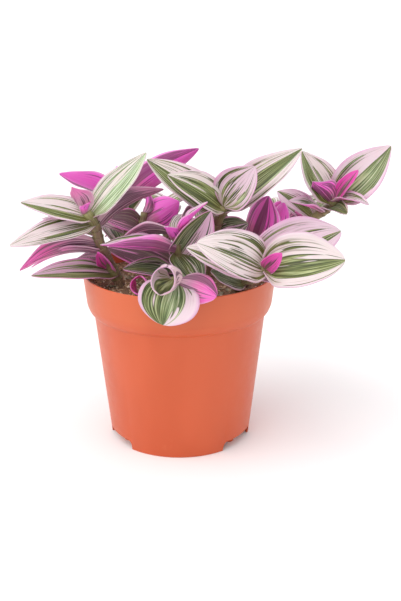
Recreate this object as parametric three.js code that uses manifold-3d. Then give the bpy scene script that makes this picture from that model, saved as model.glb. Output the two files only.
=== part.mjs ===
// A potted tradescantia: trailing striped shoots in a 12 cm nursery pot.
// Millimetres, +Z up. The origin is on the pot's axis, at the surface it stands on.
// The view of the photograph looks along +Y, with +X to the right.
import * as THREE from 'three';
import { mergeVertices } from 'three/addons/utils/BufferGeometryUtils.js';
import Module from 'manifold-3d';

const wasm = await Module();
wasm.setup();

// Pot: a thin-walled moulded cup with a rim band and three feet
const POT_HEIGHT = 108;
const RIM_RADIUS = 60;
const BAND_FOOT_RADIUS = 57.8;
const BAND_FOOT_Z = 88;
const SHOULDER_RADIUS = 53.7;
const SHOULDER_Z = 82;
const SHOULDER_STEP_OUT = 2.6;
const SHOULDER_STEP_UP = 2.2;
const BASE_RADIUS = 44.4;
const WALL = 1.1;
const LIP_ROUND = 0.3;
const POT_SIDES = 42;

// Underside: a flat centre level with the feet, and a raised channel round it
const FOOT_HEIGHT = 6;
const FLOOR = 1.6;
const PLATEAU_RADIUS = 26;
const CHANNEL_INNER_RADIUS = 30;
const FOOT_WALL = 1.6;
const NOTCH_COUNT = 3;
const NOTCH_WIDTH = 31;
const NOTCH_ROUND = 3;
const NOTCH_INNER = 38;
const NOTCH_OUTER = 50;
const NOTCH_CORNER_STEPS = 5;
const FIRST_NOTCH_DEG = -2;
const DRAIN_RADIUS = 3.5;
const DRAIN_CIRCLE = 36;

// Soil: fills the pot up to a little under the rim
const SOIL_TOP = 100;
const SOIL_DOME = 1.2;
const SOIL_BUMP = 0.7;
const SOIL_SIDES = 42;
const SOIL_RING_SHARES = [0.66, 0.33];
const GAP = 0.3;
const ROOT_DEPTH = 16;
const HOLE_SIDES = 10;
const HOLE_CLEARANCE = 1.1;

// Stems and leaves
const STEM_SIDES = 6;
const STEM_STEP = 7;
const LEAF_STATIONS = 5;
const YOUNG_LEAF_STATIONS = 3;
const YOUNG_LEAF_LENGTH = 24;
const STATION_EASE = 0.35;
const LEAF_COLUMNS = 4;
const MIDRIB_THICKNESS = 1.0;
const EDGE_THICKNESS = 0.65;
const LEAF_FOLD_DEG = 7;
const CLASP_RADIUS = 3.2;
const CLASP_REACH = 0.16;
const BASE_HALF_WIDTH = 1.5;
const TIP_HALF_WIDTH = 0.35;
const OUTLINE_LEAN = 0.8;
const OUTLINE_FULLNESS = 0.72;
const TIP_DRAW = 0.3;

// Each shoot: its stem's radius and the points that the stem runs through, and its leaves.
// A leaf springs from the stem at the share "at" of the way up. "tip" is where it ends, "face"
// the way its upper side looks, "arch" how far its midrib bows to that side, and "cup" the
// degrees its edges turn up. "fullness" under the usual makes a rounder outline, and "lean" over
// the usual brings its widest part nearer the tip.
const SHOOTS = [
  {
    name: 'shoot_left',
    radius: 2.9,
    stem: [[-37, -10, 101], [-42, -14, 116], [-47, -18, 129], [-50, -22, 143], [-54, -25, 150]],
    leaves: [
      { at: 0.92, tip: [-19, -8, 182], width: 21, face: [-2, -4, 2], arch: -1, cup: 35 },
      { at: 0.9, tip: [-91, -30, 157], width: 18, face: [0, -3, 3], arch: 2, cup: 35 },
      { at: 0.82, tip: [-96, -45, 135], width: 20, face: [-1, -3, 3], arch: 1, cup: 30 },
      { at: 1.0, tip: [-61, -30, 166], width: 17, face: [1, 3, 0], arch: 1, cup: 50, fullness: 1.1 },
      { at: 0.98, tip: [-51, -30, 157], width: 9, face: [-1, 1, 0], arch: 1, cup: 50 },
      { at: 0.74, tip: [-9, -8, 160], width: 22, face: [-1, 3, 3], arch: 5, cup: 45 },
      { at: 0.52, tip: [-92, -40, 119], width: 20, face: [0, 3, 2], arch: 6, cup: 40 },
      { at: 0.42, tip: [-88, -24, 116], width: 18, face: [0, 1, 3], arch: 5, cup: 35 },
      { at: 0.14, tip: [-84, -48, 118], width: 20, face: [0, -2, 3], arch: 2, cup: 35 },
      { at: 0.26, tip: [-66, 6, 112], width: 15, face: [0, -1, 3], arch: 3, cup: 35 },
      { at: 0.22, tip: [-47, -30, 127], width: 14, face: [-1, -2, 0], arch: -1, cup: 60 },
      { at: 0.66, tip: [-85, 8, 138], width: 16, face: [0, -1, 3], arch: 4, cup: 35 },
    ],
  },
  {
    name: 'shoot_back_left',
    radius: 2.4,
    stem: [[-28, 15, 101], [-34, 19, 122], [-38, 24, 140], [-38, 27, 149]],
    leaves: [
      { at: 0.98, tip: [-75, 20, 164], width: 20, face: [0, 3, 2], arch: 0, cup: 35 },
      { at: 0.88, tip: [12, 35, 177], width: 24, face: [-1, 3, 1], arch: 3, cup: 45 },
      { at: 0.7, tip: [-66, 56, 150], width: 22, face: [0, 1, 4], arch: 6, cup: 35 },
      { at: 0.5, tip: [-86, 30, 122], width: 22, face: [0, 1, 4], arch: 7, cup: 30 },
      { at: 0.3, tip: [-50, 66, 124], width: 24, face: [-1, 1, 3], arch: 6, cup: 30 },
      { at: 1.0, tip: [-40, 34, 166], width: 13, face: [0, 1, -1], arch: 0, cup: 70 },
      { at: 0.66, tip: [-14, 62, 144], width: 22, face: [0, 1, 4], arch: 6, cup: 35 },
    ],
  },
  {
    name: 'shoot_inner',
    radius: 2.3,
    stem: [[-12, 10, 101], [-20, 11, 117], [-23, 12, 131], [-22, 13, 141]],
    leaves: [
      { at: 0.7, tip: [-46, 4, 139], width: 22, face: [0, -2, 3], arch: 2, cup: 35 },
      { at: 0.86, tip: [0, 7, 149], width: 22, face: [0, 3, -1], arch: 2, cup: 30 },
      { at: 1.0, tip: [-20, 16, 153], width: 10, face: [1, 1, 0], arch: 1, cup: 70 },
      { at: 0.5, tip: [0, 36, 120], width: 20, face: [0, 1, 4], arch: 7, cup: 30 },
    ],
  },
  {
    name: 'shoot_centre',
    radius: 2.8,
    stem: [[19, 0, 101], [21, -2, 120], [23, -8, 138], [27, -15, 151]],
    leaves: [
      { at: 0.96, tip: [-6, -25, 172], width: 25, face: [0, -3, 3], arch: 3, cup: 35 },
      { at: 0.88, tip: [-19, -2, 177], width: 26, face: [0, -3, 3], arch: 2, cup: 40 },
      { at: 0.92, tip: [74, 0, 183], width: 27, face: [-1, -4, 3], arch: 1, cup: 40 },
      { at: 1.0, tip: [45, -20, 176], width: 33, face: [-2, -4, 1], arch: -2, cup: 60 },
      { at: 0.6, tip: [42, -4, 138], width: 18, face: [0, -3, 1], arch: 2, cup: 50 },
      { at: 0.74, tip: [40, 40, 152], width: 24, face: [0, 1, 4], arch: 6, cup: 35 },
      { at: 0.5, tip: [12, 44, 138], width: 24, face: [0, 1, 4], arch: 6, cup: 35 },
    ],
  },
  {
    name: 'shoot_right',
    radius: 2.5,
    stem: [[29, 20, 101], [45, 24, 113], [64, 24, 124], [82, 18, 135], [92, 13, 143], [97, 8, 150]],
    leaves: [
      { at: 0.98, tip: [129, 10, 183], width: 30, face: [-1, -4, 1], arch: -1, cup: 35 },
      { at: 0.94, tip: [76, 20, 178], width: 26, face: [1, -3, 2], arch: 0, cup: 35 },
      { at: 1.0, tip: [109, 5, 169], width: 12, face: [-1, -1, 0], arch: 1, cup: 80 },
      { at: 0.96, tip: [81, 0, 163], width: 20, face: [0, 2, 2], arch: 1, cup: 50, fullness: 1.1 },
      { at: 0.97, tip: [114, -10, 151], width: 13, face: [0, -1, 3], arch: 3, cup: 45 },
      { at: 0.88, tip: [101, -9, 145], width: 15, face: [0, -2, 3], arch: 2, cup: 35, fullness: 0.5 },
      { at: 0.84, tip: [67, 0, 151], width: 15, face: [0, -1, 3], arch: 1, cup: 50 },
      { at: 0.76, tip: [62, 28, 151], width: 18, face: [0, -3, 2], arch: 3, cup: 35 },
      { at: 0.24, tip: [55, 5, 153], width: 27, face: [1, 3, -1], arch: 2, cup: 40 },
      { at: 0.42, tip: [65, 9, 148], width: 14, face: [1, 3, -1], arch: 2, cup: 40 },
      { at: 0.54, tip: [76, 6, 141], width: 14, face: [0, 3, -1], arch: 2, cup: 40 },
      { at: 0.7, tip: [104, 50, 140], width: 22, face: [0, 0, 1], arch: 5, cup: 35 },
      { at: 0.3, tip: [94, 26, 108], width: 22, face: [0, 0, 1], arch: 5, cup: 35 },
      { at: 0.16, tip: [70, 44, 112], width: 20, face: [0, 0, 1], arch: 5, cup: 30 },
    ],
  },
  {
    name: 'shoot_front_right',
    radius: 2.6,
    stem: [[34, -24, 101], [41, -36, 111], [47, -47, 119], [50, -53, 124]],
    leaves: [
      { at: 0.98, tip: [94, -60, 131], width: 37, face: [0, -4, 3], arch: 3, cup: 35, fullness: 0.58 },
      { at: 0.94, tip: [11, -60, 141], width: 31, face: [0, -4, 3], arch: 5, cup: 35, fullness: 0.6 },
      { at: 0.8, tip: [5, -45, 134], width: 25, face: [0, -3, 3], arch: 3, cup: 30 },
      { at: 0.6, tip: [96, -22, 138], width: 36, face: [0, -3, 3], arch: 10, cup: 35, fullness: 0.6 },
      { at: 1.0, tip: [58, -64, 136], width: 12, face: [-1, -3, 0], arch: 0, cup: 60 },
      { at: 0.34, tip: [19, -42, 119], width: 19, face: [0, -3, 3], arch: 0, cup: 35 },
      { at: 0.2, tip: [84, -18, 112], width: 22, face: [0, 0, 1], arch: 6, cup: 30 },
    ],
  },
  {
    name: 'shoot_front',
    radius: 2.5,
    stem: [[2, -25, 101], [1, -38, 110], [-1, -50, 115], [-2, -60, 119]],
    leaves: [
      { at: 0.72, tip: [-8, -70, 96], width: 38, face: [0, -4, 2], arch: 8, cup: 25, fullness: 0.55, lean: 1.6 },
      { at: 1.0, tip: [-9, -80, 117], width: 46, face: [0, -1, 4], arch: -2, cup: 160, fullness: 0.35, lean: 1.3 },
      { at: 0.78, tip: [22, -65, 111], width: 22, face: [0, 1, -1], arch: -3, cup: 10, fullness: 0.5, lean: 1.2 },
    ],
  },
  {
    name: 'shoot_middle',
    radius: 2.5,
    stem: [[-1, -12, 101], [0, -20, 116], [-1, -27, 130], [0, -29, 140]],
    leaves: [
      { at: 0.55, tip: [19, -35, 153], width: 28, face: [1, -3, 1], arch: 1, cup: 60 },
      { at: 0.62, tip: [13, -46, 110], width: 22, face: [1, -2, 1], arch: 1, cup: 30 },
      { at: 0.9, tip: [17, -42, 160], width: 14, face: [-3, 1, 1], arch: 1, cup: 60 },
      { at: 0.8, tip: [-6, -40, 145], width: 14, face: [1, 3, 1], arch: 1, cup: 60 },
      { at: 0.64, tip: [-44, -46, 136], width: 28, face: [0, 1, 5], arch: 0, cup: 80 },
      { at: 0.92, tip: [-36, -16, 128], width: 20, face: [0, 2, 3], arch: 4, cup: 35 },
      { at: 0.16, tip: [-32, -38, 119], width: 20, face: [0, -2, 3], arch: 2, cup: 45 },
      { at: 0.26, tip: [-45, 2, 121], width: 22, face: [0, -2, 3], arch: 2, cup: 30 },
      { at: 0.98, tip: [11, -10, 147], width: 16, face: [0, 2, 2], arch: 4, cup: 35 },
    ],
  },
  {
    name: 'sprout_front_left',
    radius: 1.8,
    stem: [[-20, -36, 101], [-21, -38, 103], [-22, -40, 104]],
    leaves: [
      { at: 0.9, tip: [-23, -51, 108], width: 32, face: [0, 0, 1], arch: 0, cup: 160, fullness: 0.45, lean: 1 },
    ],
  },
  {
    name: 'shoot_back',
    radius: 2.4,
    stem: [[-8, 36, 101], [-9, 41, 114], [-10, 50, 125], [-11, 58, 131]],
    leaves: [
      { at: 0.98, tip: [-44, 84, 132], width: 24, face: [0, 1, 4], arch: 6, cup: 35 },
      { at: 0.94, tip: [26, 88, 134], width: 24, face: [0, 1, 4], arch: 6, cup: 35 },
      { at: 1.0, tip: [-12, 74, 138], width: 13, face: [0, -2, 1], arch: 0, cup: 75 },
      { at: 0.78, tip: [-16, 104, 108], width: 26, face: [0, 1, 2], arch: 8, cup: 30 },
      { at: 0.55, tip: [-52, 62, 112], width: 22, face: [0, 1, 4], arch: 6, cup: 35 },
      { at: 0.4, tip: [26, 66, 122], width: 22, face: [0, 1, 4], arch: 5, cup: 30 },
    ],
  },
  {
    name: 'shoot_back_right',
    radius: 2.4,
    stem: [[30, 40, 101], [38, 45, 113], [50, 51, 122], [58, 55, 127]],
    leaves: [
      { at: 0.98, tip: [98, 78, 126], width: 26, face: [0, 1, 4], arch: 6, cup: 35 },
      { at: 0.92, tip: [56, 102, 124], width: 24, face: [0, 1, 4], arch: 7, cup: 35 },
      { at: 1.0, tip: [70, 62, 138], width: 13, face: [-2, 0, 1], arch: 0, cup: 75 },
      { at: 0.7, tip: [96, 36, 122], width: 24, face: [0, 0, 1], arch: 6, cup: 30 },
      { at: 0.5, tip: [26, 88, 104], width: 22, face: [0, 1, 3], arch: 6, cup: 30 },
    ],
  },
];

// Finishes: sRGB colour, roughness and metalness of each kind of piece
const FINISH = {
  terracottaPlastic: { color: 0xe16c49, roughness: 0.5, metalness: 0 },
  peat: { color: 0x3b2c22, roughness: 1, metalness: 0 },
  foliage: { color: 0xb7b39c, roughness: 0.55, metalness: 0 },
};

function vector(point) {
  return new THREE.Vector3(...point);
}

// One solid from a closed geometry
function solidFrom(geometry) {
  const bare = geometry.clone();
  bare.deleteAttribute('normal');
  bare.deleteAttribute('uv');
  const merged = mergeVertices(bare, 1e-4);
  return new wasm.Manifold(new wasm.Mesh({
    numProp: 3,
    vertProperties: new Float32Array(merged.attributes.position.array),
    triVerts: new Uint32Array(merged.index.array),
  }));
}

// A flat-shaded geometry from a solid
function geometryFrom(solid) {
  const mesh = solid.getMesh();
  const geometry = new THREE.BufferGeometry();
  geometry.setAttribute('position', new THREE.BufferAttribute(mesh.vertProperties, 3));
  geometry.setIndex(new THREE.BufferAttribute(mesh.triVerts, 1));
  geometry.computeVertexNormals();
  return geometry;
}

// A profile of [radius, height] points turned round the Z axis
function turned(profile, sides) {
  const points = profile.map(([radius, height]) => new THREE.Vector2(radius, height));
  return new THREE.LatheGeometry(points, sides).rotateX(Math.PI / 2);
}

// The pot's outer radius at a height
function bodyRadius(z) {
  return THREE.MathUtils.mapLinear(z, 0, SHOULDER_Z, BASE_RADIUS, SHOULDER_RADIUS);
}

function potShell() {
  const channel = FOOT_HEIGHT + FLOOR;
  return solidFrom(turned([
    [0, 0],
    [PLATEAU_RADIUS, 0],
    [CHANNEL_INNER_RADIUS, FOOT_HEIGHT],
    [BASE_RADIUS - FOOT_WALL, FOOT_HEIGHT],
    [BASE_RADIUS - FOOT_WALL, 0],
    [BASE_RADIUS, 0],
    [SHOULDER_RADIUS, SHOULDER_Z],
    [SHOULDER_RADIUS + SHOULDER_STEP_OUT, SHOULDER_Z + SHOULDER_STEP_UP],
    [BAND_FOOT_RADIUS, BAND_FOOT_Z],
    [RIM_RADIUS, POT_HEIGHT - LIP_ROUND],
    [RIM_RADIUS - LIP_ROUND, POT_HEIGHT],
    [RIM_RADIUS - WALL + LIP_ROUND, POT_HEIGHT],
    [RIM_RADIUS - WALL, POT_HEIGHT - LIP_ROUND],
    [BAND_FOOT_RADIUS - WALL, BAND_FOOT_Z],
    [SHOULDER_RADIUS - WALL, SHOULDER_Z],
    [bodyRadius(channel) - WALL, channel],
    [CHANNEL_INNER_RADIUS - FLOOR, channel],
    [PLATEAU_RADIUS - FLOOR, FLOOR],
    [0, FLOOR],
  ], POT_SIDES));
}

// A round-topped gap in the foot ring, to be cut across it at one bearing
function notch(bearing) {
  const half = NOTCH_WIDTH / 2;
  const shape = new THREE.Shape();
  shape.moveTo(-half, -1);
  shape.lineTo(half, -1);
  shape.lineTo(half, FOOT_HEIGHT - NOTCH_ROUND);
  shape.absarc(half - NOTCH_ROUND, FOOT_HEIGHT - NOTCH_ROUND, NOTCH_ROUND, 0, Math.PI / 2);
  shape.absarc(NOTCH_ROUND - half, FOOT_HEIGHT - NOTCH_ROUND, NOTCH_ROUND, Math.PI / 2, Math.PI);
  const cutter = new THREE.ExtrudeGeometry(shape, {
    depth: NOTCH_OUTER - NOTCH_INNER,
    bevelEnabled: false,
    curveSegments: NOTCH_CORNER_STEPS,
  });
  cutter.rotateX(Math.PI / 2).rotateZ(Math.PI).translate(0, NOTCH_INNER, 0).rotateZ(bearing);
  return solidFrom(cutter);
}

function upright(radius, bottom, top, x, y, sides) {
  const height = top - bottom;
  const geometry = new THREE.CylinderGeometry(radius, radius, height, sides).rotateX(Math.PI / 2);
  return solidFrom(geometry.translate(x, y, bottom + height / 2));
}

function pot() {
  let solid = potShell();
  for (let i = 0; i < NOTCH_COUNT; i += 1) {
    const bearing = THREE.MathUtils.degToRad(FIRST_NOTCH_DEG) + (i * 2 * Math.PI) / NOTCH_COUNT;
    solid = solid.subtract(notch(bearing));
    const x = -DRAIN_CIRCLE * Math.sin(bearing);
    const y = DRAIN_CIRCLE * Math.cos(bearing);
    solid = solid.subtract(upright(DRAIN_RADIUS, 0, 2 * FOOT_HEIGHT, x, y, HOLE_SIDES));
  }
  return solid;
}

// The soil's surface: domed, with shallow bumps that die away at the wall
function soilHeight(x, y) {
  const share = Math.min(1, Math.hypot(x, y) / BAND_FOOT_RADIUS);
  const bumps = Math.sin(x * 0.31 + 1) * Math.sin(y * 0.27 + 2) + 0.6 * Math.sin(x * 0.13 - y * 0.19);
  return SOIL_TOP + (SOIL_DOME + SOIL_BUMP * bumps) * (1 - share * share);
}

function soil() {
  const inset = WALL + GAP;
  const rise = (SOIL_TOP - BAND_FOOT_Z) / (POT_HEIGHT - BAND_FOOT_Z);
  const topRadius = THREE.MathUtils.lerp(BAND_FOOT_RADIUS, RIM_RADIUS, rise) - inset;
  const channel = FOOT_HEIGHT + FLOOR + GAP;
  const rings = SOIL_RING_SHARES.map((share) => [topRadius * share, SOIL_TOP]);
  const geometry = turned([
    [0, FLOOR + GAP],
    [PLATEAU_RADIUS - FLOOR - GAP, FLOOR + GAP],
    [CHANNEL_INNER_RADIUS - FLOOR - GAP / 2, channel],
    [bodyRadius(channel) - inset, channel],
    [SHOULDER_RADIUS - inset, SHOULDER_Z + GAP],
    [BAND_FOOT_RADIUS - inset, BAND_FOOT_Z + GAP],
    [topRadius, SOIL_TOP],
    ...rings,
    [0, SOIL_TOP],
  ], SOIL_SIDES);
  const place = geometry.attributes.position;
  for (let i = 0; i < place.count; i += 1) {
    if (place.getZ(i) > SOIL_TOP - GAP) {
      place.setZ(i, soilHeight(place.getX(i), place.getY(i)));
    }
  }
  let solid = solidFrom(geometry);
  for (const { stem, radius } of SHOOTS) {
    const [x, y] = stem[0];
    const bottom = SOIL_TOP - ROOT_DEPTH - GAP;
    solid = solid.subtract(upright(radius + HOLE_CLEARANCE, bottom, POT_HEIGHT, x, y, HOLE_SIDES));
  }
  return solid;
}

// The stem's centre line, starting straight down in its hole
function stemCurve({ stem }) {
  const [x, y] = stem[0];
  const depths = [SOIL_TOP - ROOT_DEPTH, SOIL_TOP - ROOT_DEPTH / 2];
  const below = depths.map((z) => new THREE.Vector3(x, y, z));
  return new THREE.CatmullRomCurve3([...below, ...stem.map(vector)], false, 'centripetal');
}

function stemSolid(shoot, curve) {
  const section = new THREE.Shape();
  section.absarc(0, 0, shoot.radius, 0, 2 * Math.PI);
  return solidFrom(new THREE.ExtrudeGeometry(section, {
    steps: Math.round(curve.getLength() / STEM_STEP),
    curveSegments: STEM_SIDES / 2,
    extrudePath: curve,
  }));
}

// The point at a share of the stem's length above the soil
function stemPoint(curve, share) {
  const buried = ROOT_DEPTH / curve.getLength();
  return curve.getPointAt(THREE.MathUtils.lerp(buried, 1, share));
}

// Half the blade's width along its length, as a share of its widest half
function outline(u, { fullness = OUTLINE_FULLNESS, lean = OUTLINE_LEAN }) {
  return Math.max(0, Math.sin(Math.PI * u ** lean)) ** fullness * (1 - TIP_DRAW * u ** 5);
}

// The frame of a leaf: its base, its axis, the way its face looks and its side
function leafFrame(leaf, base) {
  const span = vector(leaf.tip).sub(base);
  const axis = span.clone().normalize();
  const face = vector(leaf.face).projectOnPlane(axis).normalize();
  return { base, span, axis, face };
}

// A point of the blade at u along it and v across it, and the way its skin looks there
function bladePoint(leaf, frame, u, v) {
  const bow = 4 * leaf.arch;
  const centre = frame.base.clone().addScaledVector(frame.span, u);
  centre.addScaledVector(frame.face, bow * u * (1 - u));
  const along = frame.span.clone().addScaledVector(frame.face, bow * (1 - 2 * u)).normalize();
  const lift = frame.face.clone().projectOnPlane(along).normalize();
  const side = along.clone().cross(lift);

  const clasp = Math.max(0, 1 - u / CLASP_REACH) ** 2;
  const bladeBend = (2 * THREE.MathUtils.degToRad(leaf.cup)) / leaf.width;
  const bend = THREE.MathUtils.lerp(bladeBend, 1 / CLASP_RADIUS, clasp);
  const ends = BASE_HALF_WIDTH * (1 - u) ** 6 + TIP_HALF_WIDTH * u ** 6;
  const reach = Math.abs(v) * ((leaf.width / 2) * outline(u, leaf) + ends);
  const fold = THREE.MathUtils.degToRad(LEAF_FOLD_DEG);
  const slope = fold + bend * reach;
  const out = (Math.sin(slope) - Math.sin(fold)) / bend;
  const rise = (Math.cos(fold) - Math.cos(slope)) / bend;
  const hand = Math.sign(v);
  const point = centre.addScaledVector(side, hand * out).addScaledVector(lift, rise);
  const tilt = v === 0 ? 0 : slope;
  const skin = lift.multiplyScalar(Math.cos(tilt)).addScaledVector(side, -hand * Math.sin(tilt));
  return { point, skin };
}

// Shares of the leaf's length that lie closer together at its two ends
function easedShare(t) {
  return t - (STATION_EASE * Math.sin(2 * Math.PI * t)) / (2 * Math.PI);
}

// A thin closed blade: the same grid of triangles on both faces, and a rim between them
function leafSolid(leaf, base) {
  const frame = leafFrame(leaf, base);
  const young = frame.span.length() < YOUNG_LEAF_LENGTH;
  const stations = young ? YOUNG_LEAF_STATIONS : LEAF_STATIONS;
  const row = LEAF_COLUMNS + 1;
  const top = [];
  const under = [];
  for (let i = 0; i <= stations; i += 1) {
    const u = easedShare(i / stations);
    for (let j = 0; j < row; j += 1) {
      const v = (2 * j) / LEAF_COLUMNS - 1;
      const half = THREE.MathUtils.lerp(MIDRIB_THICKNESS, EDGE_THICKNESS, Math.abs(v)) / 2;
      const { point, skin } = bladePoint(leaf, frame, u, v);
      top.push(point.clone().addScaledVector(skin, half));
      under.push(point.clone().addScaledVector(skin, -half));
    }
  }
  const index = [];
  const below = top.length;
  for (let i = 0; i < stations; i += 1) {
    for (let j = 0; j < LEAF_COLUMNS; j += 1) {
      const a = i * row + j;
      const [b, c, d] = [a + 1, a + row, a + row + 1];
      index.push(a, b, d, a, d, c);
      index.push(below + a, below + d, below + b, below + a, below + c, below + d);
    }
  }
  const loop = [];
  for (let j = 0; j < LEAF_COLUMNS; j += 1) loop.push(j);
  for (let i = 0; i < stations; i += 1) loop.push(i * row + LEAF_COLUMNS);
  for (let j = LEAF_COLUMNS; j > 0; j -= 1) loop.push(stations * row + j);
  for (let i = stations; i > 0; i -= 1) loop.push(i * row);
  loop.forEach((a, k) => {
    const b = loop[(k + 1) % loop.length];
    index.push(a, below + a, below + b, a, below + b, b);
  });
  const geometry = new THREE.BufferGeometry().setFromPoints([...top, ...under]);
  geometry.setIndex(index);
  return solidFrom(geometry);
}

// A whole shoot: its stem with every leaf's root sunk in it, and no hollow sealed between them
function shootSolid(shoot) {
  const curve = stemCurve(shoot);
  const leaves = shoot.leaves.map((leaf) => leafSolid(leaf, stemPoint(curve, leaf.at)));
  const shells = wasm.Manifold.union([stemSolid(shoot, curve), ...leaves]).decompose();
  return shells.reduce((largest, shell) => (shell.volume() > largest.volume() ? shell : largest));
}

function piece(name, solid, finish) {
  const mesh = new THREE.Mesh(geometryFrom(solid), new THREE.MeshStandardMaterial(finish));
  mesh.name = name;
  return mesh;
}

const plant = new THREE.Group();
plant.add(piece('pot', pot(), FINISH.terracottaPlastic));
plant.add(piece('soil', soil(), FINISH.peat));
for (const shoot of SHOOTS) {
  plant.add(piece(shoot.name, shootSolid(shoot), FINISH.foliage));
}

export default plant;
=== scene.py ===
"""Looks of a potted striped tradescantia: the pot, its soil and eleven leafy shoots.

Shapes are made in millimetres, with the pot's axis on the origin and its feet on the ground,
and are brought to metres when a piece is finished.
"""
from __future__ import annotations

import logging
import math
import random
from dataclasses import dataclass
from enum import Enum
from typing import Any, NamedTuple, Sequence, Union

import bmesh
import bpy
from bmesh.types import BMEdge, BMesh, BMVert
from mathutils import Color, Matrix, Vector, noise


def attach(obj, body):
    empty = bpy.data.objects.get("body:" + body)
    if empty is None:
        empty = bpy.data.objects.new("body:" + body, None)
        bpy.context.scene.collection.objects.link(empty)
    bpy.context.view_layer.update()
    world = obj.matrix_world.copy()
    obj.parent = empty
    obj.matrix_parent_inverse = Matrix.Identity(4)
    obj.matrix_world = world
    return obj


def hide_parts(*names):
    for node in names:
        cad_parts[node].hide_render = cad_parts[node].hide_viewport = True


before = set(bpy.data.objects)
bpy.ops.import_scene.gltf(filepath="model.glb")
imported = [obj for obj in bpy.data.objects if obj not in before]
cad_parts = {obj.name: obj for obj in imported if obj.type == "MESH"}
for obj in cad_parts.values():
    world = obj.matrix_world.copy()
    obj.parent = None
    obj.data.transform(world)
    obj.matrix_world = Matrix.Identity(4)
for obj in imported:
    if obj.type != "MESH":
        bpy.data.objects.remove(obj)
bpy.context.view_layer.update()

LOG = logging.getLogger("potted_plant")
MM = 0.001
BODY = "root"
CORNER_STEPS = 4
MERGE_GAP = 0.01

Span = tuple[float, float]
Point = tuple[float, float, float]
Paint = tuple[float, float, float, float]


def paint(code: str) -> Paint:
    """Returns the shader colour of a six-digit screen colour."""
    shares = [int(code[i : i + 2], 16) / 255 for i in (0, 2, 4)]
    return (*Color(shares).from_srgb_to_scene_linear(), 1.0)


def lerp(start: float, end: float, share: float) -> float:
    """Returns the number at a share of the way from start to end."""
    return start + (end - start) * share


def squared_to(vector: Vector, axis: Vector) -> Vector:
    """Returns the unit vector of the part of a vector that stands square to an axis."""
    return (vector - vector.project(axis)).normalized()


# Shader arithmetic


class Wire:
    """A node's output that takes part in Python arithmetic."""

    def __init__(self, graph: Graph, socket: bpy.types.NodeSocket) -> None:
        """Holds the output and the graph that its arithmetic is added to."""
        self.graph = graph
        self.socket = socket

    def __add__(self, other: Value) -> Wire:
        """Returns the sum with a number or another wire."""
        return self.graph.math("ADD", self, other)

    def __radd__(self, other: Value) -> Wire:
        """Returns the sum where this wire stands on the right."""
        return self.graph.math("ADD", other, self)

    def __sub__(self, other: Value) -> Wire:
        """Returns the difference from a number or another wire."""
        return self.graph.math("SUBTRACT", self, other)

    def __rsub__(self, other: Value) -> Wire:
        """Returns the difference where this wire stands on the right."""
        return self.graph.math("SUBTRACT", other, self)

    def __mul__(self, other: Value) -> Wire:
        """Returns the product with a number or another wire."""
        return self.graph.math("MULTIPLY", self, other)

    def __rmul__(self, other: Value) -> Wire:
        """Returns the product where this wire stands on the right."""
        return self.graph.math("MULTIPLY", other, self)

    def __abs__(self) -> Wire:
        """Returns the size of the value without its sign."""
        return self.graph.math("ABSOLUTE", self)


Value = Union[float, Sequence[float], Wire]


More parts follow.
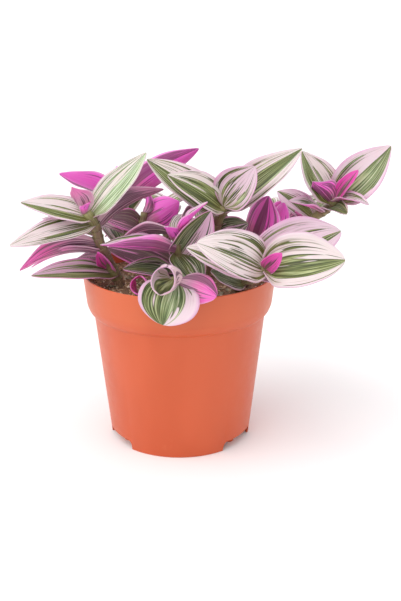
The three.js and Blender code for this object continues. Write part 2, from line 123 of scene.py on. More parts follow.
class Graph:
    """The node tree of one material, filled through plain calls."""

    def __init__(self, name: str) -> None:
        """Starts an empty material.

        Args:
            name: the material's name.
        """
        self.material = bpy.data.materials.new(name)
        self.material.use_nodes = True
        self.tree = self.material.node_tree
        self.tree.nodes.clear()

    def node(
        self,
        kind: str,
        sockets: dict[str | int, Value] | None = None,
        stops: Sequence[tuple[float, Paint]] = (),
        **settings: Any,
    ) -> bpy.types.Node:
        """Adds a node, with its settings made before its sockets are filled.

        Args:
            kind: the node's type.
            sockets: what each input takes, by its name or number.
            stops: the places and colours of a ramp.
            settings: the node's own options.

        Returns:
            The new node.
        """
        made = self.tree.nodes.new(kind)
        for name, value in settings.items():
            setattr(made, name, value)
        for number, (place, colour) in enumerate(stops):
            elements = made.color_ramp.elements
            stop = elements[number] if number < 2 else elements.new(place)
            stop.position = place
            stop.color = colour
        for name, value in (sockets or {}).items():
            if isinstance(value, Wire):
                self.tree.links.new(value.socket, made.inputs[name])
            else:
                made.inputs[name].default_value = value
        return made

    def wire(
        self,
        kind: str,
        sockets: dict[str | int, Value] | None = None,
        output: str | int = 0,
        **options: Any,
    ) -> Wire:
        """Adds a node and takes one of its outputs.

        Args:
            kind: the node's type.
            sockets: what each input takes, by its name or number.
            output: the output to take, by its name or number.
            options: the node's stops and settings.

        Returns:
            The output as a wire.
        """
        return Wire(self, self.node(kind, sockets, **options).outputs[output])

    def math(self, operation: str, first: Value, second: Value = 0.0) -> Wire:
        """Returns the outcome of one operation on numbers."""
        return self.wire("ShaderNodeMath", {0: first, 1: second}, operation=operation)

    def ease(self, value: Value, low: float, high: float) -> Wire:
        """Returns a smooth step that is 0 at low and 1 at high."""
        sockets = {"Value": value, "From Min": low, "From Max": high}
        return self.wire("ShaderNodeMapRange", sockets, interpolation_type="SMOOTHSTEP")

    def blend(self, share: Value, first: Value, second: Value) -> Wire:
        """Returns the colour at a share of the way from the first to the second."""
        sockets = {0: share, 6: first, 7: second}
        return self.wire("ShaderNodeMix", sockets, output=2, data_type="RGBA")

    def ramp(self, value: Value, codes: Sequence[str], low: float = 0.0, high: float = 1.0) -> Wire:
        """Adds a ramp of colours spaced evenly from low to high.

        Args:
            value: where on the ramp to read.
            codes: the screen colours in order.
            low: the place of the first colour.
            high: the place of the last.

        Returns:
            The colour at that value.
        """
        places = [lerp(low, high, number / (len(codes) - 1)) for number in range(len(codes))]
        stops = list(zip(places, map(paint, codes)))
        return self.wire("ShaderNodeValToRGB", {"Fac": value}, stops=stops)

    def place(self, x: Value, y: Value, z: Value) -> Wire:
        """Returns a vector of three values."""
        return self.wire("ShaderNodeCombineXYZ", {"X": x, "Y": y, "Z": z})

    def stretched(self, place: Wire, shares: Point) -> Wire:
        """Returns a place with each of its axes multiplied by a number."""
        return self.wire("ShaderNodeVectorMath", {0: place, 1: shares}, operation="MULTIPLY")

    def parts(self, place: Wire) -> tuple[Wire, Wire, Wire]:
        """Returns the three values of a vector."""
        outputs = self.node("ShaderNodeSeparateXYZ", {"Vector": place}).outputs
        return Wire(self, outputs[0]), Wire(self, outputs[1]), Wire(self, outputs[2])

    def grain(self, place: Wire, scale: float, detail: float = 2.0) -> Wire:
        """Returns cloudy noise between 0 and 1, with its middle at 0.5."""
        return self.wire("ShaderNodeTexNoise", {"Vector": place, "Scale": scale, "Detail": detail})

    def mark(self, name: str) -> Wire:
        """Returns the vector that a mesh attribute holds."""
        return self.wire("ShaderNodeAttribute", output="Vector", attribute_name=name)

    def spot(self) -> Wire:
        """Returns the place on the object, in metres."""
        return self.wire("ShaderNodeTexCoord", output="Object")

    def surface(
        self,
        colour: Value,
        roughness: Value,
        relief: Wire,
        depth: float,
        scatter: Scatter | None = None,
    ) -> bpy.types.Material:
        """Ends the graph in a surface.

        Args:
            colour: the base colour.
            roughness: how matt the surface is.
            relief: the height of its fine relief, between 0 and 1.
            depth: how deep that relief is, in metres.
            scatter: how light spreads under the surface, if it does.

        Returns:
            The finished material.
        """
        bump = self.wire("ShaderNodeBump", {"Height": relief, "Distance": depth})
        sockets = {"Base Color": colour, "Roughness": roughness, "Normal": bump}
        if scatter:
            sockets.update(scatter.sockets())
        shader = self.wire("ShaderNodeBsdfPrincipled", sockets)
        self.node("ShaderNodeOutputMaterial", {"Surface": shader})
        return self.material


# Finishes


@dataclass(frozen=True)
class Scatter:
    """How light spreads under a skin before it leaves it, with its depth in metres."""

    weight: float
    reach: Point
    depth: float

    def sockets(self) -> dict[str, Value]:
        """Returns what the shader's own sockets take."""
        names = ("Subsurface Weight", "Subsurface Radius", "Subsurface Scale")
        return dict(zip(names, (self.weight, self.reach, self.depth)))


@dataclass(frozen=True)
class PotPlastic:
    """Moulded terracotta-coloured plastic with a dull sheen.

    Heights and depths are in metres, and scales in patches to the metre.
    """

    shade: str = "c35227"
    light: str = "ca582e"
    paler_tone: str = "cf693f"
    band_step: Span = (0.084, 0.092)
    band_paling: float = 0.45
    rub_scale: float = 190.0
    rub_step: Span = (0.62, 0.8)
    rub_dust: float = 0.2
    cloud_scale: float = 30.0
    cloud_squash: float = 0.4
    cloud_step: Span = (0.35, 0.65)
    pebble_scale: float = 2600.0
    pebble_depth: float = 0.00004
    pebble_share: float = 0.6
    roughness: float = 0.38
    roughness_drift: float = 0.22
    scatter: Scatter = Scatter(0.12, (1.0, 0.35, 0.2), 0.002)

    def material(self) -> bpy.types.Material:
        """Mixes faint flow clouds, a paler band round the top, rubbed dusty patches and a fine pebble.

        Returns:
            The plastic.
        """
        graph = Graph("terracotta_plastic")
        spot = graph.spot()
        height = graph.parts(spot)[2]
        cloud = graph.grain(graph.stretched(spot, (1.0, 1.0, self.cloud_squash)), self.cloud_scale)
        rubbed = graph.grain(spot, self.rub_scale, 4.0)
        pebble = graph.grain(spot, self.pebble_scale, 1.0)
        share = graph.ease(cloud, *self.cloud_step)
        body = graph.blend(share, paint(self.shade), paint(self.light))
        # Paler from about 84 mm up to the rim; the rubbed patches are dust.
        paling = graph.ease(height, *self.band_step) * self.band_paling
        paling = paling + graph.ease(rubbed, *self.rub_step) * self.rub_dust
        colour = graph.blend(paling, body, paint(self.paler_tone))
        roughness = self.roughness + (rubbed - 0.5) * self.roughness_drift
        relief = pebble * self.pebble_share + cloud * (1 - self.pebble_share)
        return graph.surface(colour, roughness, relief, self.pebble_depth, self.scatter)


@dataclass(frozen=True)
class Peat:
    """Potting soil: dark peat, brown crumbs and pale grit.

    It reads one mark, "grit": the first value runs from 0, peat, to 1, pale grit, and the
    second is 1 on withered scraps. Scales are in specks to the metre.
    """

    earth: tuple[str, ...] = ("8d7056", "c09d77", "e0c59e", "faf2e2")
    withered: str = "b4b89c"
    withered_share: float = 0.6
    fine_scale: float = 1400.0
    fine_detail: float = 5.0
    fine_share: float = 0.5
    patch_scale: float = 160.0
    patch_detail: float = 4.0
    patch_share: float = 0.45
    roughness: float = 0.8
    roughness_drift: float = 0.2
    relief_depth: float = 0.0006

    def material(self) -> bpy.types.Material:
        """Mixes the soil from fine specks and larger patches.

        Returns:
            The soil.
        """
        graph = Graph("potting_soil")
        spot = graph.spot()
        fine = graph.grain(spot, self.fine_scale, self.fine_detail)
        patch = graph.grain(spot, self.patch_scale, self.patch_detail)
        pale, dead, _ = graph.parts(graph.mark("grit"))
        tone = pale + (fine - 0.5) * self.fine_share + (patch - 0.5) * self.patch_share
        earth = graph.ramp(tone, self.earth)
        colour = graph.blend(dead * self.withered_share, earth, paint(self.withered))
        roughness = self.roughness + fine * self.roughness_drift
        return graph.surface(colour, roughness, fine, self.relief_depth)


class Side(Enum):
    """The two sides of a leaf."""

    UPPER = "upper"
    UNDER = "under"


class Pattern(NamedTuple):
    """The wires that place a point in the pattern of its leaf.

    They are its place along and across the leaf, the leaf's seed, blush, brightness beneath (partly its
    own vivid pink, partly painted backlight) and freshness, the fine threads that run along it, and a
    field that is above 0 on its green stripes.
    """

    along: Wire
    across: Wire
    seed: Wire
    blush: Wire
    vividness_and_backlight: Wire
    fresh: Wire
    thread: Wire
    field: Wire


@dataclass(frozen=True)
class Strands:
    """Noise drawn out into strands that run from a leaf's root to its tip.

    "count" is how many lie from the midrib to an edge, "change" how often one changes on its
    way, "shift" what keeps them apart from other strands, "detail" how finely they are broken
    up, and "share" how much they weigh among others.
    """

    count: float
    change: float
    shift: float
    detail: float
    share: float = 1.0
    seed_step: float = 9.0

    def laid(self, graph: Graph, along: Wire, across: Wire, seed: Wire) -> Wire:
        """Lays the strands on the leaves.

        Args:
            graph: the graph of the material.
            along: the place along the leaf, 0 at its root.
            across: the place across it, from -1 to 1.
            seed: the leaf's own number.

        Returns:
            The noise, with its middle at 0.5.
        """
        depth = seed * self.seed_step + self.shift
        place = graph.place(along * self.change, across * self.count, depth)
        return graph.grain(place, 1.0, self.detail)


@dataclass(frozen=True)
class Stripes:
    """The lie of the green stripes, which taper out to a leaf's tip and edges.

    It reads the marks "tint", for the leaf's greenness, "band", for the middle and half width
    of its broad green stripe, and "lines", for how close its stripes lie.
    """

    broad: Strands = Strands(2.4, 1.0, 0.0, 1.0, 0.7)
    streak: Strands = Strands(7.0, 1.1, 4.0, 2.0, 1.2)
    thin: Strands = Strands(15.0, 1.2, 7.0, 1.0)
    band_gain: float = 0.5
    band_loss: float = 0.6
    band_edge: float = 0.06
    least_band: Span = (0.0, 0.05)
    even_green: float = 0.42
    green_gain: float = 0.7
    tip_step: Span = (0.3, 1.0)
    tip_fade: float = 0.5
    unfading_green: float = 0.8
    edge_step: Span = (0.85, 1.0)
    edge_fade: float = 0.3

    def field(self, graph: Graph, along: Wire, across: Wire, seed: Wire) -> Wire:
        """Lays the stripes on the leaves.

        Args:
            graph: the graph of the material.
            along: the place along the leaf, 0 at its root.
            across: the place across it, from -1 to 1.
            seed: the leaf's own number.

        Returns:
            A field that is above 0 on the green.
        """
        greenness = graph.parts(graph.mark("tint"))[0]
        middle, half, _ = graph.parts(graph.mark("band"))
        spaced = across * graph.parts(graph.mark("lines"))[0]
        field = sum(
            (strands.laid(graph, along, spaced, seed) - 0.5) * strands.share
            for strands in (self.broad, self.streak, self.thin)
        )
        outside = graph.ease(abs(across - middle) - half, -self.band_edge, self.band_edge)
        band = self.band_gain - outside * self.band_loss
        field = field + band * graph.ease(half, *self.least_band)
        to_tip = graph.ease(along, *self.tip_step) * (self.unfading_green - greenness)
        to_edge = graph.ease(abs(across), *self.edge_step) * self.edge_fade
        fade = to_tip * self.tip_fade + to_edge
        return field + (greenness - self.even_green) * self.green_gain - fade


@dataclass(frozen=True)
class GreenSkin:
    """The green of the stripes: grey-green to olive, or bright where a leaf is fresh.

    Each row of colours runs from the darkest of the fine threads to the palest. The green
    darkens at its brim, and is flushed on a leaf that blushes.
    """

    shaded: tuple[str, ...] = ("28301f", "454f32", "6f7b56", "adb394")
    olive: tuple[str, ...] = ("343b1a", "555f2a", "7e8748", "bcc291")
    bright: tuple[str, ...] = ("5b7445", "9eb384", "dee6cc")
    dull_threads: Span = (0.37, 0.65)
    bright_threads: Span = (0.38, 0.62)
    olive_step: Span = (0.05, 0.45)
    bright_step: Span = (0.5, 1.0)
    drift_scales: Point = (30.0, 1.6, 0.8)
    drift_share: float = 0.9
    brim: str = "453f24"
    brim_step: Span = (0.12, 0.02)
    brim_share: float = 0.55
    flushed: str = "7a4362"
    flushed_step: Span = (0.45, 0.7)
    flushed_share: float = 0.7

    def colour(self, graph: Graph, at: Pattern) -> Wire:
        """Colours the stripes.

        Args:
            graph: the graph of the material.
            at: the wires of the pattern.

        Returns:
            The colour.
        """
        by_seed, by_across, by_along = self.drift_scales
        place = graph.place(at.seed * by_seed, at.across * by_across, at.along * by_along)
        fresh = at.fresh + (graph.grain(place, 1.0, 0.0) - 0.5) * self.drift_share
        shaded = graph.ramp(at.thread, self.shaded, *self.dull_threads)
        olive = graph.ramp(at.thread, self.olive, *self.dull_threads)
        bright = graph.ramp(at.thread, self.bright, *self.bright_threads)
        green = graph.blend(graph.ease(fresh, *self.olive_step), shaded, olive)
        green = graph.blend(graph.ease(fresh, *self.bright_step), green, bright)
        brim = graph.ease(at.field, *self.brim_step) * self.brim_share
        green = graph.blend(brim, green, paint(self.brim))
        flush = graph.ease(at.blush, *self.flushed_step) * self.flushed_share
        return graph.blend(flush, green, paint(self.flushed))


@dataclass(frozen=True)
class UpperSide:
    """The upper side of a leaf: green stripes on cream that blushes to its edges.

    The row of creams runs from the least blush to the most. Fine veins show beside the green,
    and the leaf is yellower at its root.
    """

    cream: tuple[str, ...] = ("dfd6ce", "decdd2", "d9aeca", "df68b6", "dc3ba6")
    edge_step: Span = (0.8, 1.0)
    edge_blush: float = 0.18
    thread_blush: float = 0.2
    vein: str = "71663f"
    vein_threads: Span = (0.54, 0.6)
    vein_step: Span = (-0.42, -0.04)
    vein_share: float = 0.6
    green: GreenSkin = GreenSkin()
    green_step: Span = (-0.015, 0.025)
    root: str = "86793a"
    root_step: Span = (0.34, 0.0)
    root_share: float = 0.35

    def colour(self, graph: Graph, at: Pattern) -> Wire:
        """Colours this side.

        Args:
            graph: the graph of the material.
            at: the wires of the pattern.

        Returns:
            The colour.
        """
        edge = graph.ease(abs(at.across), *self.edge_step)
        blush = at.blush + edge * self.edge_blush + (at.thread - 0.5) * self.thread_blush
        ground = graph.ramp(blush, self.cream)
        vein = graph.ease(at.thread, *self.vein_threads) * graph.ease(at.field, *self.vein_step)
        ground = graph.blend(vein * self.vein_share, ground, paint(self.vein))
        share = graph.ease(at.field, *self.green_step)
        colour = graph.blend(share, ground, self.green.colour(graph, at))
        near_root = graph.ease(at.along, *self.root_step) * self.root_share
        return graph.blend(near_root, colour, paint(self.root))


@dataclass(frozen=True)
class Underside:
    """The underside of a leaf: dusky stripes on a rosy skin that brightens to the tip, partly its own
    vivid pink and partly painted backlight.

    The rosy row runs from the dullest, least backlit pink to the most vivid, and the dusky one from the
    darkest of the fine threads to the palest. A leaf painted as lit through has plum-coloured stripes.
    """

    rosy: tuple[str, ...] = ("ceb6b6", "c081a2", "e06cb0", "f568d4")
    # Painted backlight, partly the leaf's own vivid pink: how the rosy skin brightens towards the tip.
    glow_step: Span = (0.1, 0.85)
    root_glow: float = 0.4
    tip_glow: float = 1.6
    line: str = "efc9de"
    line_step: Span = (0.52, 0.64)
    line_share: float = 0.5
    line_loss: float = 0.3
    dusk: tuple[str, ...] = ("523946", "9c7486")
    dusk_threads: Span = (0.38, 0.64)
    dusk_step: Span = (-0.02, 0.05)
    dusk_share: float = 0.92
    dusk_loss: float = 0.1
    plum: str = "842f66"
    plum_share: float = 0.6
    margin: str = "e8c6d8"
    margin_step: Span = (0.82, 1.0)
    margin_share: float = 0.45

    def colour(self, graph: Graph, at: Pattern) -> Wire:
        """Colours this side.

        Args:
            graph: the graph of the material.
            at: the wires of the pattern.

        Returns:
            The colour.
        """
        # Painted backlight, partly the leaf's own vivid pink: leaves marked as lit through are brighter
        # and pinker, most towards the tip, with fainter pale lines and lighter plum stripes.
        to_tip = graph.ease(at.along, *self.glow_step)
        ground = graph.ramp(at.vividness_and_backlight * (self.root_glow + to_tip * self.tip_glow), self.rosy)
        line = graph.ease(at.thread, *self.line_step)
        line = line * (self.line_share - at.vividness_and_backlight * self.line_loss)
        ground = graph.blend(line, ground, paint(self.line))
        dusk = graph.ramp(at.thread, self.dusk, *self.dusk_threads)
        dusk = graph.blend(at.vividness_and_backlight * self.plum_share, dusk, paint(self.plum))
        share = graph.ease(at.field, *self.dusk_step)
        share = share * (self.dusk_share - at.vividness_and_backlight * self.dusk_loss)
        edge = graph.ease(abs(at.across), *self.margin_step) * self.margin_share
        return graph.blend(edge, graph.blend(share, ground, dusk), paint(self.margin))


@dataclass(frozen=True)
class LeafSkin:
    """The skin of one side of the leaves, with its fine relief and a thin mauve rim at the very edge,
    partly the leaf's pink margin and partly painted edge shade.

    It reads three marks of each leaf: "blade", the place along and across it and its seed; "tint",
    whose last two values are its blush and its brightness beneath, partly its own vivid pink and partly
    painted backlight; and "band", whose last value is the freshness of its green.
    """

    side: Side
    stripes: Stripes = Stripes()
    thread: Strands = Strands(19.0, 1.5, 2.0, 3.0)
    rim: str = "c596b2"
    rim_step: Span = (0.95, 0.99)
    rim_share: float = 0.35
    cell_scale: float = 1900.0
    crease_step: Span = (0.0, 0.06)
    relief_shares: Point = (0.5, 0.2, 0.3)
    relief_depth: float = 0.0003
    roughness: float = 0.38
    roughness_drift: float = 0.14
    scatter: Scatter = Scatter(0.3, (1.0, 0.5, 0.7), 0.001)

    def pattern(self, graph: Graph) -> Pattern:
        """Reads the leaf's marks and lays its stripes and fine threads.

        Args:
            graph: the graph of the material.

        Returns:
            The wires of the pattern.
        """
        along, across, seed = graph.parts(graph.mark("blade"))
        _, blush, vividness_and_backlight = graph.parts(graph.mark("tint"))
        fresh = graph.parts(graph.mark("band"))[2]
        thread = self.thread.laid(graph, along, across, seed)
        field = self.stripes.field(graph, along, across, seed)
        return Pattern(along, across, seed, blush, vividness_and_backlight, fresh, thread, field)

    def material(self) -> bpy.types.Material:
        """Colours this side and gives it its rim and its relief.

        Returns:
            The skin.
        """
        graph = Graph(f"leaf_{self.side.value}")
        at = self.pattern(graph)
        face = UpperSide() if self.side is Side.UPPER else Underside()
        # The mauve rim: partly the pink margin, partly painted shade along the edge.
        rim = graph.ease(abs(at.across), *self.rim_step) * self.rim_share
        colour = graph.blend(rim, face.colour(graph, at), paint(self.rim))
        cell = graph.grain(graph.spot(), self.cell_scale, 2.0)
        crease = graph.ease(abs(at.across), *self.crease_step)
        roughness = self.roughness + cell * self.roughness_drift
        by_thread, by_cell, by_crease = self.relief_shares
        relief = at.thread * by_thread + cell * by_cell + crease * by_crease
        return graph.surface(colour, roughness, relief, self.relief_depth, self.scatter)


@dataclass(frozen=True)
class StemSkin:
    """Fleshy stem skin with lengthwise streaks, and the papery skin of old sheaths.

    It reads two marks: "straight", the place on the stem as if it stood straight, in
    millimetres, and "husk", whose first value is 1 on dry sheaths and whose second is 1 at a
    node. Streaks and lines are given as their number to a millimetre round and along the stem.
    """

    flesh: str = "8b8058"
    ripe: str = "6e5443"
    blush: str = "7d4a5a"
    blush_share: float = 0.75
    node: str = "a0a467"
    node_share: float = 0.55
    papery: str = "b59d7e"
    streaks: Point = (1.3, 1.3, 0.06)
    streak_step: Span = (0.4, 0.62)
    lines: Point = (3.5, 3.5, 0.08)
    line_step: Span = (0.45, 0.62)
    patch_scale: float = 0.14
    patch_step: Span = (0.42, 0.65)
    roughness: float = 0.42
    dry_roughness: float = 0.35
    roughness_drift: float = 0.2
    relief_depth: float = 0.00025
    scatter: Scatter = Scatter(0.15, (1.0, 0.5, 0.4), 0.0015)

    def material(self) -> bpy.types.Material:
        """Mixes the flesh, its blush, its pale nodes and the papery skin.

        Returns:
            The skin.
        """
        graph = Graph("stem_skin")
        straight = graph.mark("straight")
        dry, near_node, _ = graph.parts(graph.mark("husk"))
        streak = graph.grain(graph.stretched(straight, self.streaks), 1.0, 3.0)
        patch = graph.grain(straight, self.patch_scale, 2.0)
        line = graph.grain(graph.stretched(straight, self.lines), 1.0, 2.0)
        share = graph.ease(streak, *self.streak_step)
        flesh = graph.blend(share, paint(self.flesh), paint(self.ripe))
        blush = graph.ease(patch, *self.patch_step) * self.blush_share
        flesh = graph.blend(blush, flesh, paint(self.blush))
        flesh = graph.blend(near_node * self.node_share, flesh, paint(self.node))
        share = graph.ease(line, *self.line_step)
        papery = graph.blend(share, paint(self.papery), paint(self.ripe))
        colour = graph.blend(dry, flesh, papery)
        roughness = self.roughness + dry * self.dry_roughness + (line - 0.5) * self.roughness_drift
        return graph.surface(colour, roughness, line, self.relief_depth, self.scatter)


@dataclass(frozen=True)
class SheathHair:
    """The fine pale hairs of sheaths and leaf edges, a little paler in places."""

    dull: str = "c9b7a8"
    pale: str = "f2ece6"
    fleck_scale: float = 500.0
    roughness: float = 0.5
    roughness_drift: float = 0.1
    relief_depth: float = 0.00002

    def material(self) -> bpy.types.Material:
        """Mixes the two tones of the hair.

        Returns:
            The hair.
        """
        graph = Graph("sheath_hair")
        fleck = graph.grain(graph.spot(), self.fleck_scale)
        colour = graph.blend(fleck, paint(self.dull), paint(self.pale))
        roughness = self.roughness + fleck * self.roughness_drift
        return graph.surface(colour, roughness, fleck, self.relief_depth)


@dataclass(frozen=True)
class PaleSweep:
    """The matt white of the studio floor, with a trace of unevenness."""

    tone: str = "fcfcfc"
    cloudy: str = "f7f7f7"
    cloud_share: float = 0.2
    cloud_scale: float = 2.0
    roughness: float = 0.9
    roughness_drift: float = 0.05

    def material(self) -> bpy.types.Material:
        """Mixes the two whites.

        Returns:
            The floor's finish.
        """
        graph = Graph("pale_floor")
        cloud = graph.grain(graph.spot(), self.cloud_scale)
        colour = graph.blend(cloud * self.cloud_share, paint(self.tone), paint(self.cloudy))
        return graph.surface(colour, self.roughness + cloud * self.roughness_drift, cloud, 0.0)


# Pieces


def add_object(bm: BMesh, name: str, materials: Sequence[bpy.types.Material]) -> bpy.types.Object:
    """Turns a bmesh in millimetres into a smooth object in metres.

    Args:
        bm: the shape, which is freed.
        name: the object's name.
        materials: its material slots in order.

    Returns:
        The object, in the scene.
    """
    bmesh.ops.scale(bm, vec=(MM, MM, MM), verts=bm.verts)
    mesh = bpy.data.meshes.new(name)
    bm.to_mesh(mesh)
    bm.free()
    for material in materials:
        mesh.materials.append(material)
    mesh.shade_smooth()
    made = bpy.data.objects.new(name, mesh)
    bpy.context.scene.collection.objects.link(made)
    return made


def enrol(piece: bpy.types.Object, slot: str, *nodes: str) -> bpy.types.Object:
    """Makes an object a piece of the plant.

    Args:
        piece: the object.
        slot: the material slot of the record that it stands for; it is not used.
        nodes: the solids that it takes the place of.

    Returns:
        The same object.
    """
    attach(piece, BODY)
    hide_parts(*nodes)
    LOG.info("%s: %d faces", piece.name, len(piece.data.polygons))
    return piece


def carve(piece: bpy.types.Object, cutter: bpy.types.Object) -> None:
    """Cuts one object out of another for good.

    Args:
        piece: the object that is cut.
        cutter: what is cut out of it, which is deleted.
    """
    cut = piece.modifiers.new("cut", "BOOLEAN")
    cut.operation = "DIFFERENCE"
    cut.solver = "EXACT"
    cut.object = cutter
    graph = bpy.context.evaluated_depsgraph_get()
    carved = bpy.data.meshes.new_from_object(piece.evaluated_get(graph), depsgraph=graph)
    piece.modifiers.clear()
    piece.data = carved
    bpy.data.objects.remove(cutter)


def turned(profile: Sequence[Point], sides: int) -> BMesh:
    """Turns a closed profile round the Z axis.

    Args:
        profile: the radius, the height and the rounding of each corner, from axis to axis.
        sides: the number of steps round the axis.

    Returns:
        The closed shell.
    """
    bm = bmesh.new()
    corners = [bm.verts.new((radius, 0.0, height)) for radius, height, _ in profile]
    for pair in zip(corners, corners[1:]):
        bm.edges.new(pair)
    for corner, (_, _, rounding) in zip(corners, profile):
        if rounding:
            bmesh.ops.bevel(
                bm,
                geom=[corner],
                offset=rounding,
                offset_type="OFFSET",
                segments=CORNER_STEPS,
                profile=0.5,
                affect="VERTICES",
                material=-1,
            )
    bmesh.ops.spin(
        bm,
        geom=bm.verts[:] + bm.edges[:],
        cent=(0.0, 0.0, 0.0),
        axis=(0.0, 0.0, 1.0),
        angle=math.tau,
        steps=sides,
        use_merge=True,
    )
    bmesh.ops.remove_doubles(bm, verts=bm.verts, dist=MERGE_GAP)
    bmesh.ops.recalc_face_normals(bm, faces=bm.faces)
    return bm


def edges_at(verts: Sequence[BMVert]) -> list[BMEdge]:
    """Lists the edges that meet at some points, each once and always in the same order.

    Args:
        verts: the points.

    Returns:
        The edges.
    """
    return list(dict.fromkeys(edge for vert in verts for edge in vert.link_edges))


@dataclass
class NurseryPot:
    """A thin-walled tapering pot with a rim band, on three feet."""

    height: float = 108.0
    rim_radius: float = 60.0
    band_foot_radius: float = 57.8
    band_foot_z: float = 88.0
    shoulder_radius: float = 53.7
    shoulder_z: float = 82.0
    step_out: float = 2.6
    step_up: float = 2.2
    base_radius: float = 44.4
    wall: float = 1.1
    foot_height: float = 6.0
    floor: float = 1.6
    plateau_radius: float = 26.0
    channel_radius: float = 30.0
    foot_wall: float = 1.6
    notch_count: int = 3
    notch_width: float = 31.0
    notch_round: float = 3.0
    notch_steps: int = 6
    notch_inner: float = 38.0
    notch_outer: float = 50.0
    first_notch: float = math.radians(-2)
    drain_radius: float = 3.5
    drain_circle: float = 36.0
    drain_sides: int = 32
    rim_round: float = 0.45
    foot_round: float = 0.5
    skirt_round: float = 0.6
    shoulder_round: float = 0.8
    channel_round: float = 1.0
    band_round: float = 1.2
    crease: float = math.radians(38)
    sides: int = 240

    def profile(self) -> list[Point]:
        """Draws the section of the pot, down its outside and up its inside.

        Returns:
            The radius, the height and the rounding of each corner.
        """
        channel = self.foot_height + self.floor
        body = lerp(self.base_radius, self.shoulder_radius, channel / self.shoulder_z)
        skirt = self.base_radius - self.foot_wall
        step_radius = self.shoulder_radius + self.step_out
        step_z = self.shoulder_z + self.step_up
        return [
            (0.0, 0.0, 0.0),
            (self.plateau_radius, 0.0, self.channel_round),
            (self.channel_radius, self.foot_height, self.channel_round),
            (skirt, self.foot_height, self.foot_round),
            (skirt, 0.0, self.foot_round),
            (self.base_radius, 0.0, self.skirt_round),
            (self.shoulder_radius, self.shoulder_z, self.shoulder_round),
            (step_radius, step_z, self.shoulder_round),
            (self.band_foot_radius, self.band_foot_z, self.band_round),
            (self.rim_radius, self.height, self.rim_round),
            (self.rim_radius - self.wall, self.height, self.rim_round),
            (self.band_foot_radius - self.wall, self.band_foot_z, self.band_round),
            (self.shoulder_radius - self.wall, self.shoulder_z, self.shoulder_round),
            (body - self.wall, channel, self.shoulder_round),
            (self.channel_radius - self.floor, channel, self.shoulder_round),
            (self.plateau_radius - self.floor, self.floor, self.shoulder_round),
            (0.0, self.floor, 0.0),
        ]

    def notch(self, bm: BMesh, bearing: float) -> None:
        """Adds the round-topped block that opens one gap between the feet.

        Args:
            bm: the cutter's shape.
            bearing: the direction of the gap, in radians from +Y.
        """
        depth = self.notch_outer - self.notch_inner
        middle = (self.notch_inner + self.notch_outer) / 2
        rise = self.foot_height + 1.0
        size = Matrix.Diagonal((self.notch_width, depth, rise, 1.0))
        lift = Matrix.Translation((0.0, middle, rise / 2 - 1.0))
        block = bmesh.ops.create_cube(bm, size=1.0, matrix=lift @ size)["verts"]
        top = [vert for vert in block if vert.co.z > 0]
        across = [
            edge
            for edge in edges_at(top)
            if all(vert in top for vert in edge.verts)
            and abs(edge.verts[0].co.y - edge.verts[1].co.y) > depth / 2
        ]
        turn = Matrix.Rotation(bearing, 4, "Z")
        bmesh.ops.transform(bm, matrix=turn, verts=block)
        bmesh.ops.bevel(
            bm,
            geom=across,
            offset=self.notch_round,
            offset_type="OFFSET",
            segments=self.notch_steps,
            profile=0.5,
            affect="EDGES",
            material=-1,
        )

    def cutter(self) -> bpy.types.Object:
        """Shapes what is cut away: the gaps between the feet, and the drain holes.

        Returns:
            The cutter, as one object.
        """
        bm = bmesh.new()
        for number in range(self.notch_count):
            bearing = self.first_notch + number * math.tau / self.notch_count
            self.notch(bm, bearing)
            spot = Vector((0.0, self.drain_circle, self.foot_height))
            spot.rotate(Matrix.Rotation(bearing, 3, "Z"))
            bmesh.ops.create_cone(
                bm,
                cap_ends=True,
                segments=self.drain_sides,
                radius1=self.drain_radius,
                radius2=self.drain_radius,
                depth=2 * self.foot_height,
                matrix=Matrix.Translation(spot),
            )
        return add_object(bm, "foot_gaps", [])

    def build(self) -> None:
        """Turns the pot, opens its foot ring and dresses it."""
        shell = turned(self.profile(), self.sides)
        pot = add_object(shell, "moulded_pot", [PotPlastic().material()])
        carve(pot, self.cutter())
        pot.data.set_sharp_from_angle(angle=self.crease)
        enrol(pot, "pot", "pot")


